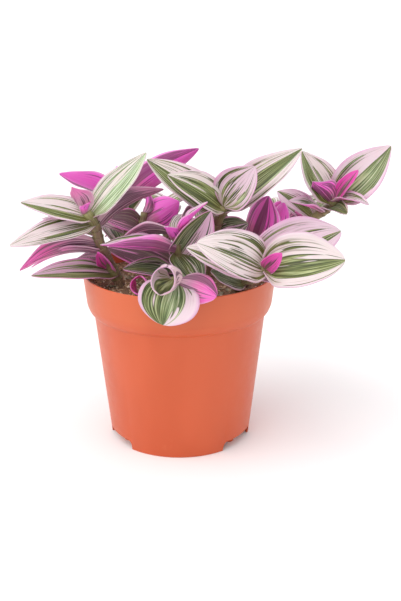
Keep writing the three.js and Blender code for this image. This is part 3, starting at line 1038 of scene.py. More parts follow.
@dataclass
class PottingSoil:
    """The crumbly bed that fills the pot, and what lies on it.

    "walls" is the radius and height of each corner where the soil meets the pot. Crumbs,
    chips and scraps each have a range of half lengths, and their widths, thicknesses and
    marks follow.
    """

    top: float = 100.0
    dome: float = 1.2
    bump: float = 0.7
    wave: Span = (0.31, 0.27)
    cross_wave: Span = (0.13, 0.19)
    cross_share: float = 0.6
    radius: float = 57.7
    span: float = 57.8
    walls: tuple[Span, ...] = (
        (0.0, 1.9),
        (24.1, 1.9),
        (28.2, 7.9),
        (43.9, 7.9),
        (52.2, 82.3),
        (56.3, 88.3),
    )
    relief: float = 1.3
    coarse_scale: float = 0.33
    fine_scale: float = 0.95
    fine_share: float = 0.6
    fine_shift: Point = (7.0, 3.0, 0.0)
    relief_drop: float = 0.3
    wall_power: int = 12
    sides: int = 200
    rings: int = 54
    crumbs: int = 1700
    crumb_size: Span = (0.35, 1.25)
    crumb_width: Span = (0.6, 1.0)
    crumb_thickness: Span = (0.5, 0.8)
    crumb_marks: tuple[float, ...] = (0.1, 0.2, 0.3, 0.4, 0.5, 0.6, 0.9)
    chips: int = 300
    chip_size: Span = (1.0, 2.6)
    chip_width: Span = (0.2, 0.45)
    chip_thickness: float = 0.16
    chip_mark: Span = (0.2, 0.8)
    scraps: int = 70
    scrap_size: Span = (2.0, 4.2)
    scrap_width: float = 0.5
    scrap_half_thickness: float = 0.25
    scrap_mark: Span = (0.3, 0.7)
    scrap_curl: float = 0.16
    wall_gap: float = 1.5
    tilt: float = 0.5
    lift_share: float = 0.3
    grain_roughness: float = 0.12
    seed: int = 11

    def height(self, x: float, y: float) -> float:
        """Finds the height of the soil's smooth surface.

        Args:
            x: the place to the right of the pot's axis.
            y: the place behind it.

        Returns:
            The height.
        """
        share = min(1.0, math.hypot(x, y) / self.span)
        bumps = math.sin(self.wave[0] * x + 1) * math.sin(self.wave[1] * y + 2)
        cross = math.sin(self.cross_wave[0] * x - self.cross_wave[1] * y)
        bumps = bumps + self.cross_share * cross
        return self.top + (self.dome + self.bump * bumps) * (1 - share * share)

    def crumble(self, x: float, y: float) -> float:
        """Finds how far the crumbs rise above the smooth surface, which is nothing at the wall.

        Args:
            x: the place to the right of the pot's axis.
            y: the place behind it.

        Returns:
            The height above the smooth surface.
        """
        place = Vector((x, y, 0.0))
        coarse = abs(noise.noise(place * self.coarse_scale))
        fine = abs(noise.noise(place * self.fine_scale + Vector(self.fine_shift)))
        still = 1 - min(1.0, math.hypot(x, y) / self.radius) ** self.wall_power
        return self.relief * (coarse + self.fine_share * fine - self.relief_drop) * still

    def bed(self) -> None:
        """Makes the body of the soil with its crumbled surface."""
        walls = [(radius, height, 0.0) for radius, height in self.walls]
        top = [(self.radius * (1 - ring / self.rings), self.top, 0.0) for ring in range(self.rings)]
        bm = turned([*walls, *top, (0.0, self.top, 0.0)], self.sides)
        for vert in bm.verts:
            if vert.co.z > self.top - 1:
                x, y, _ = vert.co
                vert.co.z = self.height(x, y) + self.crumble(x, y)
        bm.verts.layers.float_vector.new("grit")
        enrol(add_object(bm, "soil_bed", [Peat().material()]), "soil", "soil")

    def grain_shape(self, number: int, chance: random.Random) -> tuple[Point, Point]:
        """Draws the half sizes and the mark of one grain of the litter.

        Args:
            number: its place in the litter: crumbs come first, then chips, then scraps.
            chance: the source of the draw.

        Returns:
            The half sizes, and the grit mark.
        """
        if number < self.crumbs:
            size = chance.uniform(*self.crumb_size)
            width = size * chance.uniform(*self.crumb_width)
            thickness = size * chance.uniform(*self.crumb_thickness)
            return (size, width, thickness), (chance.choice(self.crumb_marks), 0.0, 0.0)
        if number < self.crumbs + self.chips:
            size = chance.uniform(*self.chip_size)
            width = size * chance.uniform(*self.chip_width)
            shape = (size, width, size * self.chip_thickness)
            return shape, (chance.uniform(*self.chip_mark), 0.0, 0.0)
        size = chance.uniform(*self.scrap_size)
        shape = (size, size * self.scrap_width, self.scrap_half_thickness)
        return shape, (chance.uniform(*self.scrap_mark), 1.0, 0.0)

    def litter(self) -> None:
        """Scatters crumbs, bark chips, pale grit and withered scraps over the bed."""
        chance = random.Random(self.seed)
        bm = bmesh.new()
        grit = bm.verts.layers.float_vector.new("grit")
        for number in range(self.crumbs + self.chips + self.scraps):
            shape, mark = self.grain_shape(number, chance)
            away = (self.radius - self.wall_gap - shape[0]) * math.sqrt(chance.random())
            bearing = chance.uniform(0, math.tau)
            x, y = away * math.cos(bearing), away * math.sin(bearing)
            turn = Matrix.Rotation(chance.uniform(0, math.tau), 4, "Z")
            turn = turn @ Matrix.Rotation(chance.uniform(-self.tilt, self.tilt), 4, "X")
            lift = self.height(x, y) + self.crumble(x, y) + shape[2] * self.lift_share
            pose = Matrix.Translation((x, y, lift)) @ turn @ Matrix.Diagonal((*shape, 1.0))
            made = bmesh.ops.create_icosphere(bm, subdivisions=1, radius=1.0, matrix=pose)
            rough = self.grain_roughness * min(shape)
            for vert in made["verts"]:
                vert.co += vert.normal * chance.uniform(-rough, rough)
                vert.co.z += mark[1] * self.scrap_curl * (vert.co.x - x) ** 2
                vert[grit] = Vector(mark)
        enrol(add_object(bm, "soil_crumbs", [Peat().material()]), "soil", "soil")

    def build(self) -> None:
        """Makes the bed and what lies on it."""
        self.bed()
        self.litter()


# Shoots


class Tint(NamedTuple):
    """The colouring of a leaf, as four shares from 0 to 1.

    They are how green and how rosy it is above, how bright beneath, and how fresh its green. The
    brightness beneath is partly the leaf's own vivid pink and partly painted backlight, light shining
    through the leaf.
    """

    green: float
    blush: float
    vividness_and_backlight: float
    fresh: float


class Tone(Enum):
    """The kinds of leaf by their colour."""

    GREEN = Tint(0.68, 0.06, 0.4, 0.3)
    BRIGHT = Tint(0.6, 0.04, 0.4, 1.0)
    STRIPED = Tint(0.6, 0.1, 0.45, 0.4)
    PALE = Tint(0.5, 0.14, 0.5, 0.5)
    CREAM = Tint(0.42, 0.16, 0.5, 0.4)
    BLUSHED = Tint(0.38, 0.34, 0.6, 0.5)
    ROSY = Tint(0.5, 0.45, 0.7, 0.3)
    DEEP = Tint(0.72, 0.24, 0.3, 0.1)
    # A dull tint for leaves deep in the plant: painted shade.
    SHADY = Tint(0.68, 0.46, 0.3, 0.1)
    PLUM = Tint(0.72, 0.66, 0.3, 0.1)
    MAGENTA = Tint(0.26, 0.92, 0.95, 0.5)
    PINK = Tint(0.26, 0.72, 0.3, 0.5)
    MAUVE = Tint(0.5, 0.3, 0.4, 0.3)
    VIOLET = Tint(0.58, 0.35, 0.85, 0.3)
    HOT_PINK = Tint(0.24, 0.35, 1.0, 0.3)
    DUSKY = Tint(0.44, 0.3, 0.2, 0.1)
    GRASSY = Tint(0.35, 0.28, 0.5, 0.6)
    ASHEN = Tint(0.4, 0.3, 0.04, 0.5)


@dataclass(frozen=True)
class Leaf:
    """One leaf, as it grows from its stem.

    It springs from the stem at the share "at" of the way up and ends at "tip". "face" is the
    way its upper side looks, "arch" how far its midrib bows to that side, and "cup" the degrees
    its edges turn up. "band" is the middle and half width of its broad green stripe. A lower
    "fullness" makes a rounder outline, and a higher "lean" brings its widest part to the tip.
    "closeness" is how close its stripes lie.
    """

    at: float
    tip: Point
    width: float
    face: Point
    arch: float
    cup: float
    tone: Tone = Tone.STRIPED
    band: Span = (0.0, 0.0)
    fullness: float = 0.72
    lean: float = 0.8
    closeness: float = 1.0


@dataclass
class Blade:
    """A leaf spread out from its root on the stem, which it clasps there.

    "ease" is how much closer its cells lie at both ends, and "edge_share" how thick it is at
    its edges, which ripple, as a share of its thickness at the midrib.
    """

    leaf: Leaf
    base: Vector
    seed: float
    cells_along: int = 44
    cells_across: int = 16
    fold: float = math.radians(7)
    clasp_radius: float = 3.2
    clasp_reach: float = 0.16
    base_half_width: float = 1.5
    tip_half_width: float = 0.35
    tip_draw: float = 0.3
    draw_power: int = 5
    end_power: int = 6
    ease: float = 0.35
    wave: float = 0.45
    wave_count: float = 2.2
    wave_shift: float = 3.0
    edge_share: float = 0.5

    def __post_init__(self) -> None:
        """Works out the leaf's span and the way it faces."""
        self.span = Vector(self.leaf.tip) - self.base
        self.face = squared_to(Vector(self.leaf.face), self.span.normalized())

    def reach(self, along: float) -> float:
        """Finds half the blade's width.

        Args:
            along: the share of the way from the root to the tip.

        Returns:
            The half width, in millimetres.
        """
        full = math.sin(math.pi * along**self.leaf.lean)
        drawn = 1 - self.tip_draw * along**self.draw_power
        full = max(0.0, full) ** self.leaf.fullness * drawn
        ends = self.base_half_width * (1 - along) ** self.end_power
        ends = ends + self.tip_half_width * along**self.end_power
        return self.leaf.width / 2 * full + ends

    def place(self, along: float, across: float) -> Vector:
        """Finds a point of the blade.

        Args:
            along: the share of the way from the root to the tip.
            across: the share of the way from the midrib to an edge, with the side's sign.

        Returns:
            The point, in millimetres.
        """
        bow = 4 * self.leaf.arch
        centre = self.base + self.span * along + self.face * (bow * along * (1 - along))
        heading = (self.span + self.face * (bow * (1 - 2 * along))).normalized()
        lift = squared_to(self.face, heading)
        side = heading.cross(lift)
        clasp = max(0.0, 1 - along / self.clasp_reach) ** 2
        bend = lerp(2 * math.radians(self.leaf.cup) / self.leaf.width, 1 / self.clasp_radius, clasp)
        slope = self.fold + bend * abs(across) * self.reach(along)
        out = (math.sin(slope) - math.sin(self.fold)) / bend
        rise = (math.cos(self.fold) - math.cos(slope)) / bend
        phase = self.wave_count * along + self.wave_shift * self.seed
        ripple = self.wave * abs(across) ** 3 * math.sin(math.tau * phase)
        ripple *= math.sin(math.pi * along)
        return centre + side * math.copysign(out, across) + lift * (rise + ripple)

    def spread(self, bm: BMesh, marks: LeafMarks) -> None:
        """Shapes a flat grid into the blade and marks its points.

        Args:
            bm: the shape that the blade is added to.
            marks: the layers that hold the marks.
        """
        grid = bmesh.ops.create_grid(
            bm, x_segments=self.cells_along, y_segments=self.cells_across, size=1.0
        )
        green, blush, vividness_and_backlight, fresh = self.leaf.tone.value
        tint = Vector((green, blush, vividness_and_backlight))
        band = Vector((*self.leaf.band, fresh))
        lines = Vector((self.leaf.closeness, 0.0, 0.0))
        for vert in grid["verts"]:
            share = (vert.co.x + 1) / 2
            along = share - self.ease * math.sin(math.tau * share) / math.tau
            across = -vert.co.y
            vert.co = self.place(along, across)
            vert[marks.blade] = Vector((along, across, self.seed))
            vert[marks.tint] = tint
            vert[marks.band] = band
            vert[marks.lines] = lines
            vert[marks.weight][0] = lerp(1.0, self.edge_share, abs(across))


class LeafMarks(NamedTuple):
    """The layers that carry each leaf's marks to its skin."""

    blade: Any
    tint: Any
    band: Any
    lines: Any
    weight: Any

    @classmethod
    def on(cls, bm: BMesh) -> LeafMarks:
        """Adds the layers to a shape.

        Args:
            bm: the shape.

        Returns:
            The layers.
        """
        layers = bm.verts.layers
        names = ("blade", "tint", "band", "lines")
        vectors = [layers.float_vector.new(name) for name in names]
        return cls(*vectors, layers.deform.verify())


class StemLine:
    """The smooth centre line of a stem, through its guide points.

    STEPS is the number of steps between two guide points, and NEAR how far from a place its
    heading is measured, in millimetres.
    """

    STEPS = 40
    NEAR = 0.6

    def __init__(self, guides: Sequence[Vector]) -> None:
        """Lays the line and measures it.

        Args:
            guides: the points that it passes, from its lower end.
        """
        first = guides[0] * 2 - guides[1]
        last = guides[-1] * 2 - guides[-2]
        ring = [first, *guides, last]
        self.places = [
            self.between(ring[i : i + 4], step / self.STEPS)
            for i in range(len(guides) - 1)
            for step in range(self.STEPS)
        ]
        self.places.append(guides[-1])
        self.lengths = [0.0]
        for start, end in zip(self.places, self.places[1:]):
            self.lengths.append(self.lengths[-1] + (end - start).length)

    @property
    def length(self) -> float:
        """The length of the whole line."""
        return self.lengths[-1]

    @staticmethod
    def between(four: Sequence[Vector], share: float) -> Vector:
        """Finds a point between the middle two of four guide points.

        Args:
            four: the guide points, whose spacing steers the curve.
            share: the share of the way from the second to the third.

        Returns:
            The point.
        """
        knots = [0.0]
        for start, end in zip(four, four[1:]):
            knots.append(knots[-1] + math.sqrt((end - start).length))
        spot = lerp(knots[1], knots[2], share)

        def part(low: int, high: int) -> float:
            """Returns the share of the way between two knots."""
            return (spot - knots[low]) / (knots[high] - knots[low])

        first = [four[i].lerp(four[i + 1], part(i, i + 1)) for i in range(3)]
        second = [first[i].lerp(first[i + 1], part(i, i + 2)) for i in range(2)]
        return second[0].lerp(second[1], part(1, 2))

    def at(self, length: float) -> Vector:
        """Finds a point of the line.

        Args:
            length: how far it lies from the lower end.

        Returns:
            The point.
        """
        for i, end in enumerate(self.lengths[1:]):
            if length <= end:
                start = self.lengths[i]
                return self.places[i].lerp(self.places[i + 1], (length - start) / (end - start))
        return self.places[-1].copy()

    def pose(self, length: float, radius: float) -> Matrix:
        """Places a ring round the line, square to it.

        Args:
            length: how far it lies from the lower end.
            radius: its radius.

        Returns:
            Its place, heading and size.
        """
        low = self.at(max(0.0, length - self.NEAR))
        high = self.at(min(self.length, length + self.NEAR))
        turn = Vector((0.0, 0.0, 1.0)).rotation_difference(high - low)
        size = Matrix.Diagonal((radius, radius, radius, 1.0))
        return Matrix.Translation(self.at(length)) @ turn.to_matrix().to_4x4() @ size


class Ring(NamedTuple):
    """One ring of a tube: how far up the line it lies, and its radius."""

    length: float
    radius: float


@dataclass
class Tubes:
    """The round tubes of one shoot, its stem and the sheaths round it, and their fine hairs."""

    line: StemLine
    sides: int = 16
    hair_sides: int = 3
    hair_root_radius: float = 0.07
    hair_tip_radius: float = 0.01
    hair_middle: float = 0.45

    def __post_init__(self) -> None:
        """Starts an empty shape with its marks."""
        self.bm = bmesh.new()
        self.straight = self.bm.verts.layers.float_vector.new("straight")
        self.husk = self.bm.verts.layers.float_vector.new("husk")

    def note(self, verts: Sequence[BMVert], length: float, radius: float, husk: Point) -> None:
        """Marks the points of a ring.

        Args:
            verts: the points, in order round the ring.
            length: how far up the line it lies.
            radius: its radius.
            husk: how dry it is, and how near a node.
        """
        for number, vert in enumerate(verts):
            turn = math.tau * number / self.sides
            vert[self.straight] = Vector((radius * math.cos(turn), radius * math.sin(turn), length))
            vert[self.husk] = Vector(husk)

    def draw(self, rings: Sequence[Ring], husks: Sequence[Point]) -> None:
        """Draws a tube along the line and closes its ends.

        Args:
            rings: the rings in order.
            husks: the husk mark of each ring.
        """
        bm = self.bm
        pose = self.line.pose(*rings[0])
        made = bmesh.ops.create_circle(
            bm, cap_ends=True, segments=self.sides, radius=1.0, matrix=pose
        )
        verts = made["verts"]
        self.note(verts, rings[0].length, rings[0].radius, husks[0])
        edges = edges_at(verts)
        for ring, husk in zip(rings[1:], husks[1:]):
            next_pose = self.line.pose(*ring)
            geometry = bmesh.ops.extrude_edge_only(bm, edges=edges)["geom"]
            verts = [item for item in geometry if isinstance(item, BMVert)]
            edges = [item for item in geometry if isinstance(item, BMEdge)]
            bmesh.ops.transform(bm, matrix=next_pose @ pose.inverted(), verts=verts)
            self.note(verts, ring.length, ring.radius, husk)
            pose = next_pose
        bmesh.ops.edgeloop_fill(bm, edges=edges)

    def hair(self, root: Vector, heading: Vector, length: float) -> None:
        """Adds one fine hair.

        Args:
            root: where it grows.
            heading: the way it points.
            length: its length.
        """
        turn = Vector((0.0, 0.0, 1.0)).rotation_difference(heading).to_matrix().to_4x4()
        middle = root + heading.normalized() * (length * self.hair_middle)
        made = bmesh.ops.create_cone(
            self.bm,
            cap_ends=True,
            segments=self.hair_sides,
            radius1=self.hair_root_radius,
            radius2=self.hair_tip_radius,
            depth=length,
            matrix=Matrix.Translation(middle) @ turn,
        )
        for vert in made["verts"]:
            for face in vert.link_faces:
                face.material_index = 1


@dataclass(frozen=True)
class Sheath:
    """A sheath that wraps a stem, with hairs on its rim.

    Its foot and its lip each have a height and a flare, and its belly a share of the length
    and a flare. "dry" is 1 for an old papery one.
    """

    length: float
    dry: float
    snug: float = 0.94
    lift: float = 0.35
    drift: float = 0.15
    dry_flare: float = 0.4
    foot: Span = (0.4, 0.1)
    belly: Span = (0.4, 0.22)
    lip: Span = (0.8, 0.25)
    lip_roll: float = 0.1
    tuck_depth: float = 1.6
    paleness: float = 0.4
    hairs: int = 12
    hair_length: Span = (0.8, 1.7)
    hair_lean: Span = (0.8, 1.8)
    hair_lift: float = 0.2

    def rings(self, radius: float, top: float, rim: float) -> list[Ring]:
        """Draws the sheath from its foot up to its lip, and back inside it.

        Args:
            radius: the stem's radius.
            top: how far up the line the lip lies.
            rim: the sheath's radius just under its lip.

        Returns:
            The rings in order.
        """
        foot_height, foot_flare = self.foot
        belly_share, belly_flare = self.belly
        lip_height, lip_flare = self.lip
        return [
            Ring(top - self.length, radius * self.snug),
            Ring(top - self.length + foot_height, radius + foot_flare),
            Ring(top - self.length * belly_share, radius + belly_flare),
            Ring(top - lip_height, rim),
            Ring(top, rim + lip_flare),
            Ring(top - self.lip_roll, rim),
            Ring(top - self.tuck_depth, radius * self.snug),
        ]

    def wrap(self, tubes: Tubes, radius: float, top: float, chance: random.Random) -> None:
        """Wraps the sheath round a stem.

        Args:
            tubes: the tubes of the shoot.
            radius: the stem's radius.
            top: how far up the line the lip lies.
            chance: the source of what differs from sheath to sheath.
        """
        rim = radius + self.lift + self.drift * chance.random() + self.dry_flare * self.dry
        rings = self.rings(radius, top, rim)
        tubes.draw(rings, [(self.dry, self.paleness * (1 - self.dry), 0.0)] * len(rings))
        for _ in range(self.hairs):
            turn = chance.uniform(0, math.tau)
            pose = tubes.line.pose(top, rim + self.hair_lift)
            root = pose @ Vector((math.cos(turn), math.sin(turn), 0.0))
            outward = (root - tubes.line.at(top)).normalized()
            upward = pose.col[2].to_3d().normalized()
            heading = outward + upward * chance.uniform(*self.hair_lean)
            tubes.hair(root, heading, chance.uniform(*self.hair_length))


@dataclass
class Wardrobe:
    """The finishes that all the shoots share."""

    upper: bpy.types.Material
    under: bpy.types.Material
    stem: bpy.types.Material
    hair: bpy.types.Material

    @classmethod
    def new(cls) -> Wardrobe:
        """Makes each finish once.

        Returns:
            The finishes.
        """
        return cls(
            LeafSkin(Side.UPPER).material(),
            LeafSkin(Side.UNDER).material(),
            StemSkin().material(),
            SheathHair().material(),
        )


@dataclass
class Shoot:
    """One trailing shoot: a fleshy stem and the leaves that clasp it.

    The stem is swollen at its nodes and wrapped in a sheath at each, and in a dry one at the
    ground. Each leaf has fine hairs along a part of its edges.
    """

    name: str
    radius: float
    stem: tuple[Point, ...]
    leaves: tuple[Leaf, ...]
    soil_top: float = 100.0
    root_depth: float = 16.0
    buried: float = 7.0
    ring_step: float = 1.2
    leaf_thickness: float = 0.75
    base_girth: float = 1.06
    top_girth: float = 0.84
    node_swell: float = 0.14
    node_drop: float = 1.5
    node_reach: float = 2.2
    end_share: float = 0.55
    end_rise: float = 0.01
    sheath: Sheath = Sheath(length=7.0, dry=0.0)
    sheath_rise: float = 0.6
    last_sheath: float = 0.97
    dry_sheath: Sheath = Sheath(length=6.5, dry=1.0)
    dry_rise: float = 6.0
    hairs: int = 12
    hair_length: Span = (0.5, 1.1)
    hair_lean: Span = (0.2, 0.8)
    hairy_part: Span = (0.08, 0.42)
    hair_drift: float = 0.02
    hair_inset: float = 0.85

    def __post_init__(self) -> None:
        """Lays the stem's line, which starts straight down in the soil, and the blades on it."""
        x, y, _ = self.stem[0]
        depths = (self.soil_top - self.root_depth, self.soil_top - self.root_depth / 2)
        guides = [Vector((x, y, z)) for z in depths] + [Vector(point) for point in self.stem]
        self.line = StemLine(guides)
        self.chance = random.Random(self.name)
        self.blades = [
            Blade(leaf, self.line.at(self.root_of(leaf)), round(self.chance.random(), 3))
            for leaf in self.leaves
        ]

    def root_of(self, leaf: Leaf) -> float:
        """Returns how far up the line a leaf springs."""
        return lerp(self.root_depth, self.line.length, leaf.at)

    def nearness(self, length: float) -> float:
        """Returns how near a place on the stem is to a node, from 0 to 1."""
        gaps = [abs(length - self.root_of(leaf) + self.node_drop) for leaf in self.leaves]
        return math.exp(-((min(gaps) / self.node_reach) ** 2))

    def leaf_piece(self, wardrobe: Wardrobe) -> None:
        """Spreads the leaves and gives them their thickness.

        Args:
            wardrobe: the shared finishes.
        """
        bm = bmesh.new()
        marks = LeafMarks.on(bm)
        for blade in self.blades:
            blade.spread(bm, marks)
        piece = add_object(bm, f"{self.name}_leaves", [wardrobe.upper, wardrobe.under])
        piece.vertex_groups.new(name="thickness")
        shell = piece.modifiers.new("thickness", "SOLIDIFY")
        shell.thickness = self.leaf_thickness * MM
        shell.offset = 0.0
        shell.material_offset = 1
        shell.vertex_group = "thickness"
        enrol(piece, "foliage", self.name)

    def stem_tube(self, tubes: Tubes) -> None:
        """Draws the stem, swollen at its nodes, slimmer upwards and rounded at its end.

        Args:
            tubes: the tubes of this shoot.
        """
        start = self.root_depth - self.buried
        count = round((self.line.length - start) / self.ring_step)
        rings = []
        for number in range(count + 1):
            share = number / count
            length = lerp(start, self.line.length, share)
            girth = lerp(self.base_girth, self.top_girth, share)
            girth = girth + self.node_swell * self.nearness(length)
            rings.append(Ring(length, self.radius * girth))
        last = rings[-1]
        rings.append(Ring(last.length + self.end_rise, last.radius * self.end_share))
        husks = [(0.0, self.nearness(ring.length), 0.0) for ring in rings]
        tubes.draw(rings, husks)

    def edge_hairs(self, tubes: Tubes, blade: Blade) -> None:
        """Sets fine hairs along the lower edges of a leaf.

        Args:
            tubes: the tubes of this shoot.
            blade: the leaf.
        """
        for number in range(self.hairs):
            along = lerp(*self.hairy_part, number / self.hairs)
            along = along + self.hair_drift * self.chance.random()
            for across in (-1.0, 1.0):
                edge = blade.place(along, across)
                inner = blade.place(along, across * self.hair_inset)
                lean = self.chance.uniform(*self.hair_lean)
                heading = (edge - inner).normalized() + blade.span.normalized() * lean
                tubes.hair(edge, heading, self.chance.uniform(*self.hair_length))

    def stem_piece(self, wardrobe: Wardrobe) -> None:
        """Draws the stem with its sheaths and hairs.

        Args:
            wardrobe: the shared finishes.
        """
        tubes = Tubes(self.line)
        self.stem_tube(tubes)
        ground = self.root_depth + self.dry_rise
        self.dry_sheath.wrap(tubes, self.radius, ground, self.chance)
        for leaf, blade in zip(self.leaves, self.blades):
            self.edge_hairs(tubes, blade)
            if leaf.at < self.last_sheath:
                top = self.root_of(leaf) + self.sheath_rise
                self.sheath.wrap(tubes, self.radius, top, self.chance)
        bmesh.ops.recalc_face_normals(tubes.bm, faces=tubes.bm.faces)
        piece = add_object(tubes.bm, f"{self.name}_stem", [wardrobe.stem, wardrobe.hair])
        enrol(piece, "foliage", self.name)

    def build(self, wardrobe: Wardrobe) -> None:
        """Makes the leaves and the stem."""
        self.leaf_piece(wardrobe)
        self.stem_piece(wardrobe)


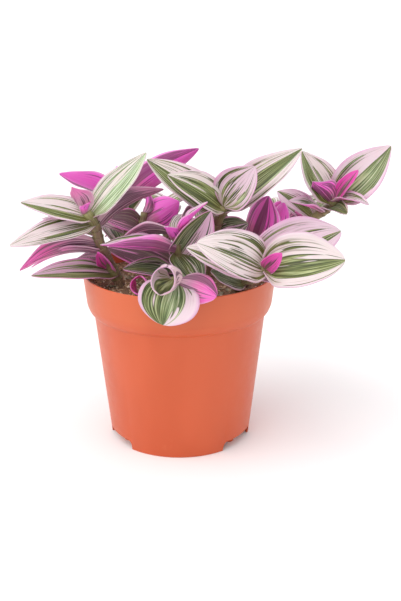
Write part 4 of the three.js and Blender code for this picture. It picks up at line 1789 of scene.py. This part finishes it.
SHOOTS = (
    Shoot(
        name="shoot_left",
        radius=2.9,
        stem=((-37, -10, 101), (-42, -14, 116), (-47, -18, 129), (-50, -22, 143), (-54, -25, 150)),
        leaves=(
            Leaf(0.92, (-19, -8, 182), 21, (-2, -4, 2), -1, 35, Tone.BRIGHT, (0.3, 0.4)),
            Leaf(0.9, (-91, -30, 157), 18, (0, -3, 3), 2, 35, Tone.CREAM, (-0.45, 0.3)),
            Leaf(0.82, (-96, -45, 135), 20, (-1, -3, 3), 1, 30, Tone.CREAM, closeness=0.6),
            Leaf(1.0, (-61, -30, 166), 17, (1, 3, 0), 1, 50, Tone.PINK, fullness=1.1),
            Leaf(0.98, (-51, -30, 157), 9, (-1, 1, 0), 1, 50, Tone.MAGENTA),
            Leaf(0.74, (-9, -8, 160), 22, (-1, 3, 3), 5, 45, Tone.DUSKY),
            Leaf(0.52, (-92, -40, 119), 20, (0, 3, 2), 6, 40, Tone.MAUVE),
            Leaf(0.42, (-88, -24, 116), 18, (0, 1, 3), 5, 35, Tone.MAUVE),
            Leaf(0.14, (-84, -48, 118), 20, (0, -2, 3), 2, 35, Tone.ROSY, (-0.4, 0.4)),
            Leaf(0.26, (-66, 6, 112), 15, (0, -1, 3), 3, 35, Tone.PLUM),
            Leaf(0.22, (-47, -30, 127), 14, (-1, -2, 0), -1, 60, Tone.MAGENTA),
            Leaf(0.66, (-85, 8, 138), 16, (0, -1, 3), 4, 35, Tone.ROSY),
        ),
    ),
    Shoot(
        name="shoot_back_left",
        radius=2.4,
        stem=((-28, 15, 101), (-34, 19, 122), (-38, 24, 140), (-38, 27, 149)),
        leaves=(
            Leaf(0.98, (-75, 20, 164), 20, (0, 3, 2), 0, 35, Tone.HOT_PINK, (0.6, 0.2)),
            Leaf(0.88, (12, 35, 177), 24, (-1, 3, 1), 3, 45, Tone.HOT_PINK, (0.6, 0.35)),
            Leaf(0.7, (-66, 56, 150), 22, (0, 1, 4), 6, 35, Tone.STRIPED),
            Leaf(0.5, (-86, 30, 122), 22, (0, 1, 4), 7, 30, Tone.GREEN, (0.1, 0.4)),
            Leaf(0.3, (-50, 66, 124), 24, (-1, 1, 3), 6, 30, Tone.PALE, (-0.2, 0.3)),
            Leaf(1.0, (-40, 34, 166), 13, (0, 1, -1), 0, 70, Tone.MAGENTA),
            Leaf(0.66, (-14, 62, 144), 22, (0, 1, 4), 6, 35, Tone.STRIPED, (0.2, 0.3)),
        ),
    ),
    Shoot(
        name="shoot_inner",
        radius=2.3,
        stem=((-12, 10, 101), (-20, 11, 117), (-23, 12, 131), (-22, 13, 141)),
        leaves=(
            Leaf(0.7, (-46, 4, 139), 22, (0, -2, 3), 2, 35, Tone.PLUM),
            Leaf(0.86, (0, 7, 149), 22, (0, 3, -1), 2, 30, Tone.HOT_PINK),
            Leaf(1.0, (-20, 16, 153), 10, (1, 1, 0), 1, 70, Tone.ROSY),
            Leaf(0.5, (0, 36, 120), 20, (0, 1, 4), 7, 30, Tone.STRIPED),
        ),
    ),
    Shoot(
        name="shoot_centre",
        radius=2.8,
        stem=((19, 0, 101), (21, -2, 120), (23, -8, 138), (27, -15, 151)),
        leaves=(
            Leaf(0.96, (-6, -25, 172), 25, (0, -3, 3), 3, 35, Tone.STRIPED, (-0.3, 0.3)),
            Leaf(0.88, (-19, -2, 177), 26, (0, -3, 3), 2, 40, Tone.STRIPED, (-0.3, 0.3)),
            Leaf(0.92, (74, 0, 183), 27, (-1, -4, 3), 1, 40, Tone.PALE, (0.05, 0.4)),
            Leaf(1.0, (45, -20, 176), 33, (-2, -4, 1), -2, 60, Tone.BLUSHED),
            Leaf(0.6, (42, -4, 138), 18, (0, -3, 1), 2, 50, Tone.SHADY),
            Leaf(0.74, (40, 40, 152), 24, (0, 1, 4), 6, 35, Tone.STRIPED, (0.1, 0.3)),
            Leaf(0.5, (12, 44, 138), 24, (0, 1, 4), 6, 35, Tone.GREEN),
        ),
    ),
    Shoot(
        name="shoot_right",
        radius=2.5,
        stem=((29, 20, 101), (45, 24, 113), (64, 24, 124), (82, 18, 135), (92, 13, 143), (97, 8, 150)),
        leaves=(
            Leaf(0.98, (129, 10, 183), 30, (-1, -4, 1), -1, 35, Tone.GRASSY, (0.35, 0.42)),
            Leaf(0.94, (76, 20, 178), 26, (1, -3, 2), 0, 35, Tone.PALE, (-0.4, 0.34)),
            Leaf(1.0, (109, 5, 169), 12, (-1, -1, 0), 1, 80, Tone.MAGENTA, (0.0, 0.2)),
            Leaf(0.96, (81, 0, 163), 20, (0, 2, 2), 1, 50, Tone.VIOLET, fullness=1.1),
            Leaf(0.97, (114, -10, 151), 13, (0, -1, 3), 3, 45, Tone.BLUSHED),
            Leaf(0.88, (101, -9, 145), 15, (0, -2, 3), 2, 35, Tone.GREEN, (0.0, 0.7), 0.5),
            Leaf(0.84, (67, 0, 151), 15, (0, -1, 3), 1, 50, Tone.BLUSHED),
            Leaf(0.76, (62, 28, 151), 18, (0, -3, 2), 3, 35, Tone.BLUSHED, (0.1, 0.3)),
            Leaf(0.24, (55, 5, 153), 27, (1, 3, -1), 2, 40, Tone.VIOLET, (0.0, 0.2)),
            Leaf(0.42, (65, 9, 148), 14, (1, 3, -1), 2, 40, Tone.HOT_PINK),
            Leaf(0.54, (76, 6, 141), 14, (0, 3, -1), 2, 40, Tone.MAUVE),
            Leaf(0.7, (104, 50, 140), 22, (0, 0, 1), 5, 35, Tone.STRIPED, (0.0, 0.3)),
            Leaf(0.3, (94, 26, 108), 22, (0, 0, 1), 5, 35, Tone.GREEN, (0.1, 0.4)),
            Leaf(0.16, (70, 44, 112), 20, (0, 0, 1), 5, 30, Tone.STRIPED),
        ),
    ),
    Shoot(
        name="shoot_front_right",
        radius=2.6,
        stem=((34, -24, 101), (41, -36, 111), (47, -47, 119), (50, -53, 124)),
        leaves=(
            Leaf(0.98, (94, -60, 131), 37, (0, -4, 3), 3, 35, Tone.PALE, (0.3, 0.24), 0.58, 0.8, 0.7),
            Leaf(0.94, (11, -60, 141), 31, (0, -4, 3), 5, 35, Tone.CREAM, fullness=0.6, closeness=0.75),
            Leaf(0.8, (5, -45, 134), 25, (0, -3, 3), 3, 30, Tone.PALE, (-0.3, 0.2)),
            Leaf(0.6, (96, -22, 138), 36, (0, -3, 3), 10, 35, Tone.BLUSHED, (0.3, 0.2), 0.6),
            Leaf(1.0, (58, -64, 136), 12, (-1, -3, 0), 0, 60, Tone.MAGENTA),
            Leaf(0.34, (19, -42, 119), 19, (0, -3, 3), 0, 35, Tone.DEEP, (0.0, 0.6)),
            Leaf(0.2, (84, -18, 112), 22, (0, 0, 1), 6, 30, Tone.STRIPED),
        ),
    ),
    Shoot(
        name="shoot_front",
        radius=2.5,
        stem=((2, -25, 101), (1, -38, 110), (-1, -50, 115), (-2, -60, 119)),
        leaves=(
            Leaf(0.72, (-8, -70, 96), 38, (0, -4, 2), 8, 25, Tone.GRASSY, (0.2, 0.7), 0.55, 1.6, 0.5),
            Leaf(1.0, (-9, -80, 117), 46, (0, -1, 4), -2, 172, Tone.ASHEN, (0.1, 0.3), 0.35, 1.3),
            Leaf(0.78, (22, -65, 111), 22, (0, 1, -1), -3, 10, Tone.MAUVE, (0.6, 0.2), 0.5, 1.2),
        ),
    ),
    Shoot(
        name="shoot_middle",
        radius=2.5,
        stem=((-1, -12, 101), (0, -20, 116), (-1, -27, 130), (0, -29, 140)),
        leaves=(
            Leaf(0.55, (19, -35, 153), 28, (1, -3, 1), 1, 60, Tone.ROSY, (-0.5, 0.4)),
            Leaf(0.62, (13, -46, 110), 22, (1, -2, 1), 1, 30, Tone.DEEP),
            Leaf(0.9, (17, -42, 160), 14, (-3, 1, 1), 1, 60, Tone.HOT_PINK),
            Leaf(0.8, (-6, -40, 145), 14, (1, 3, 1), 1, 60, Tone.HOT_PINK),
            Leaf(0.64, (-44, -46, 136), 28, (0, 1, 5), 0, 80, Tone.VIOLET),
            Leaf(0.92, (-36, -16, 128), 20, (0, 2, 3), 4, 35, Tone.DEEP, (0.2, 0.6)),
            Leaf(0.16, (-32, -38, 119), 20, (0, -2, 3), 2, 45, Tone.SHADY, (0.1, 0.4)),
            Leaf(0.26, (-45, 2, 121), 22, (0, -2, 3), 2, 30, Tone.PLUM),
            Leaf(0.98, (11, -10, 147), 16, (0, 2, 2), 4, 35, Tone.DUSKY),
        ),
    ),
    Shoot(
        name="sprout_front_left",
        radius=1.8,
        stem=((-20, -36, 101), (-21, -38, 103), (-22, -40, 104)),
        leaves=(
            Leaf(0.9, (-23, -51, 108), 32, (0, 0, 1), 0, 172, Tone.MAGENTA, fullness=0.45, lean=1.0),
        ),
    ),
    Shoot(
        name="shoot_back",
        radius=2.4,
        stem=((-8, 36, 101), (-9, 41, 114), (-10, 50, 125), (-11, 58, 131)),
        leaves=(
            Leaf(0.98, (-44, 84, 132), 24, (0, 1, 4), 6, 35, Tone.STRIPED, (0.2, 0.3)),
            Leaf(0.94, (26, 88, 134), 24, (0, 1, 4), 6, 35, Tone.PALE, (-0.2, 0.3)),
            Leaf(1.0, (-12, 74, 138), 13, (0, -2, 1), 0, 75, Tone.MAGENTA),
            Leaf(0.78, (-16, 104, 108), 26, (0, 1, 2), 8, 30, Tone.STRIPED, (0.0, 0.4)),
            Leaf(0.55, (-52, 62, 112), 22, (0, 1, 4), 6, 35, Tone.GREEN),
            Leaf(0.4, (26, 66, 122), 22, (0, 1, 4), 5, 30, Tone.STRIPED),
        ),
    ),
    Shoot(
        name="shoot_back_right",
        radius=2.4,
        stem=((30, 40, 101), (38, 45, 113), (50, 51, 122), (58, 55, 127)),
        leaves=(
            Leaf(0.98, (98, 78, 126), 26, (0, 1, 4), 6, 35, Tone.PALE, (0.2, 0.3)),
            Leaf(0.92, (56, 102, 124), 24, (0, 1, 4), 7, 35, Tone.STRIPED, (-0.1, 0.35)),
            Leaf(1.0, (70, 62, 138), 13, (-2, 0, 1), 0, 75, Tone.MAGENTA),
            Leaf(0.7, (96, 36, 122), 24, (0, 0, 1), 6, 30, Tone.GREEN, (0.1, 0.4)),
            Leaf(0.5, (26, 88, 104), 22, (0, 1, 3), 6, 30, Tone.STRIPED),
        ),
    ),
)


# Studio


@dataclass
class Studio:
    """A white sweep under an even sky, with one soft key light from the upper left."""

    eye: Point = (13.1, -600.0, 287.0)
    pitch: float = 18.42
    lens: float = 60.2
    sky: float = 0.97
    key: float = 1.45
    key_from: Point = (-0.7, -0.55, 0.95)
    key_spread: float = 70.0
    sweep: float = 20000.0

    def camera(self) -> None:
        """Sets the camera where the photograph was taken from."""
        data = bpy.data.cameras.new("camera")
        data.lens = self.lens
        camera = bpy.data.objects.new("camera", data)
        camera.location = Vector(self.eye) * MM
        camera.rotation_euler = (math.radians(90 - self.pitch), 0.0, 0.0)
        bpy.context.scene.collection.objects.link(camera)
        bpy.context.scene.camera = camera

    def lights(self) -> None:
        """Hangs the key light and lights the sky."""
        data = bpy.data.lights.new("key", "SUN")
        data.energy = self.key
        data.angle = math.radians(self.key_spread)
        key = bpy.data.objects.new("key", data)
        key.rotation_euler = Vector(self.key_from).to_track_quat("Z", "Y").to_euler()
        bpy.context.scene.collection.objects.link(key)
        world = bpy.data.worlds.new("sky")
        world.use_nodes = True
        background = world.node_tree.nodes["Background"]
        background.inputs["Color"].default_value = (1.0, 1.0, 1.0, 1.0)
        background.inputs["Strength"].default_value = self.sky
        bpy.context.scene.world = world

    def floor(self) -> None:
        """Lays the pale floor."""
        bm = bmesh.new()
        bmesh.ops.create_grid(bm, x_segments=1, y_segments=1, size=self.sweep)
        add_object(bm, "floor", [PaleSweep().material()])

    def build(self) -> None:
        """Sets up the camera, the lights and the floor."""
        self.camera()
        self.lights()
        self.floor()
        bpy.context.scene.view_settings.view_transform = "Standard"


def main() -> None:
    """Builds the studio and then the plant, from the pot up."""
    logging.basicConfig(level=logging.INFO, format="%(name)s %(message)s")
    LOG.info("the frame holds %d solids", len(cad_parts))
    Studio().build()
    NurseryPot().build()
    PottingSoil().build()
    wardrobe = Wardrobe.new()
    for shoot in SHOOTS:
        shoot.build(wardrobe)


if __name__ == "__main__":
    main()
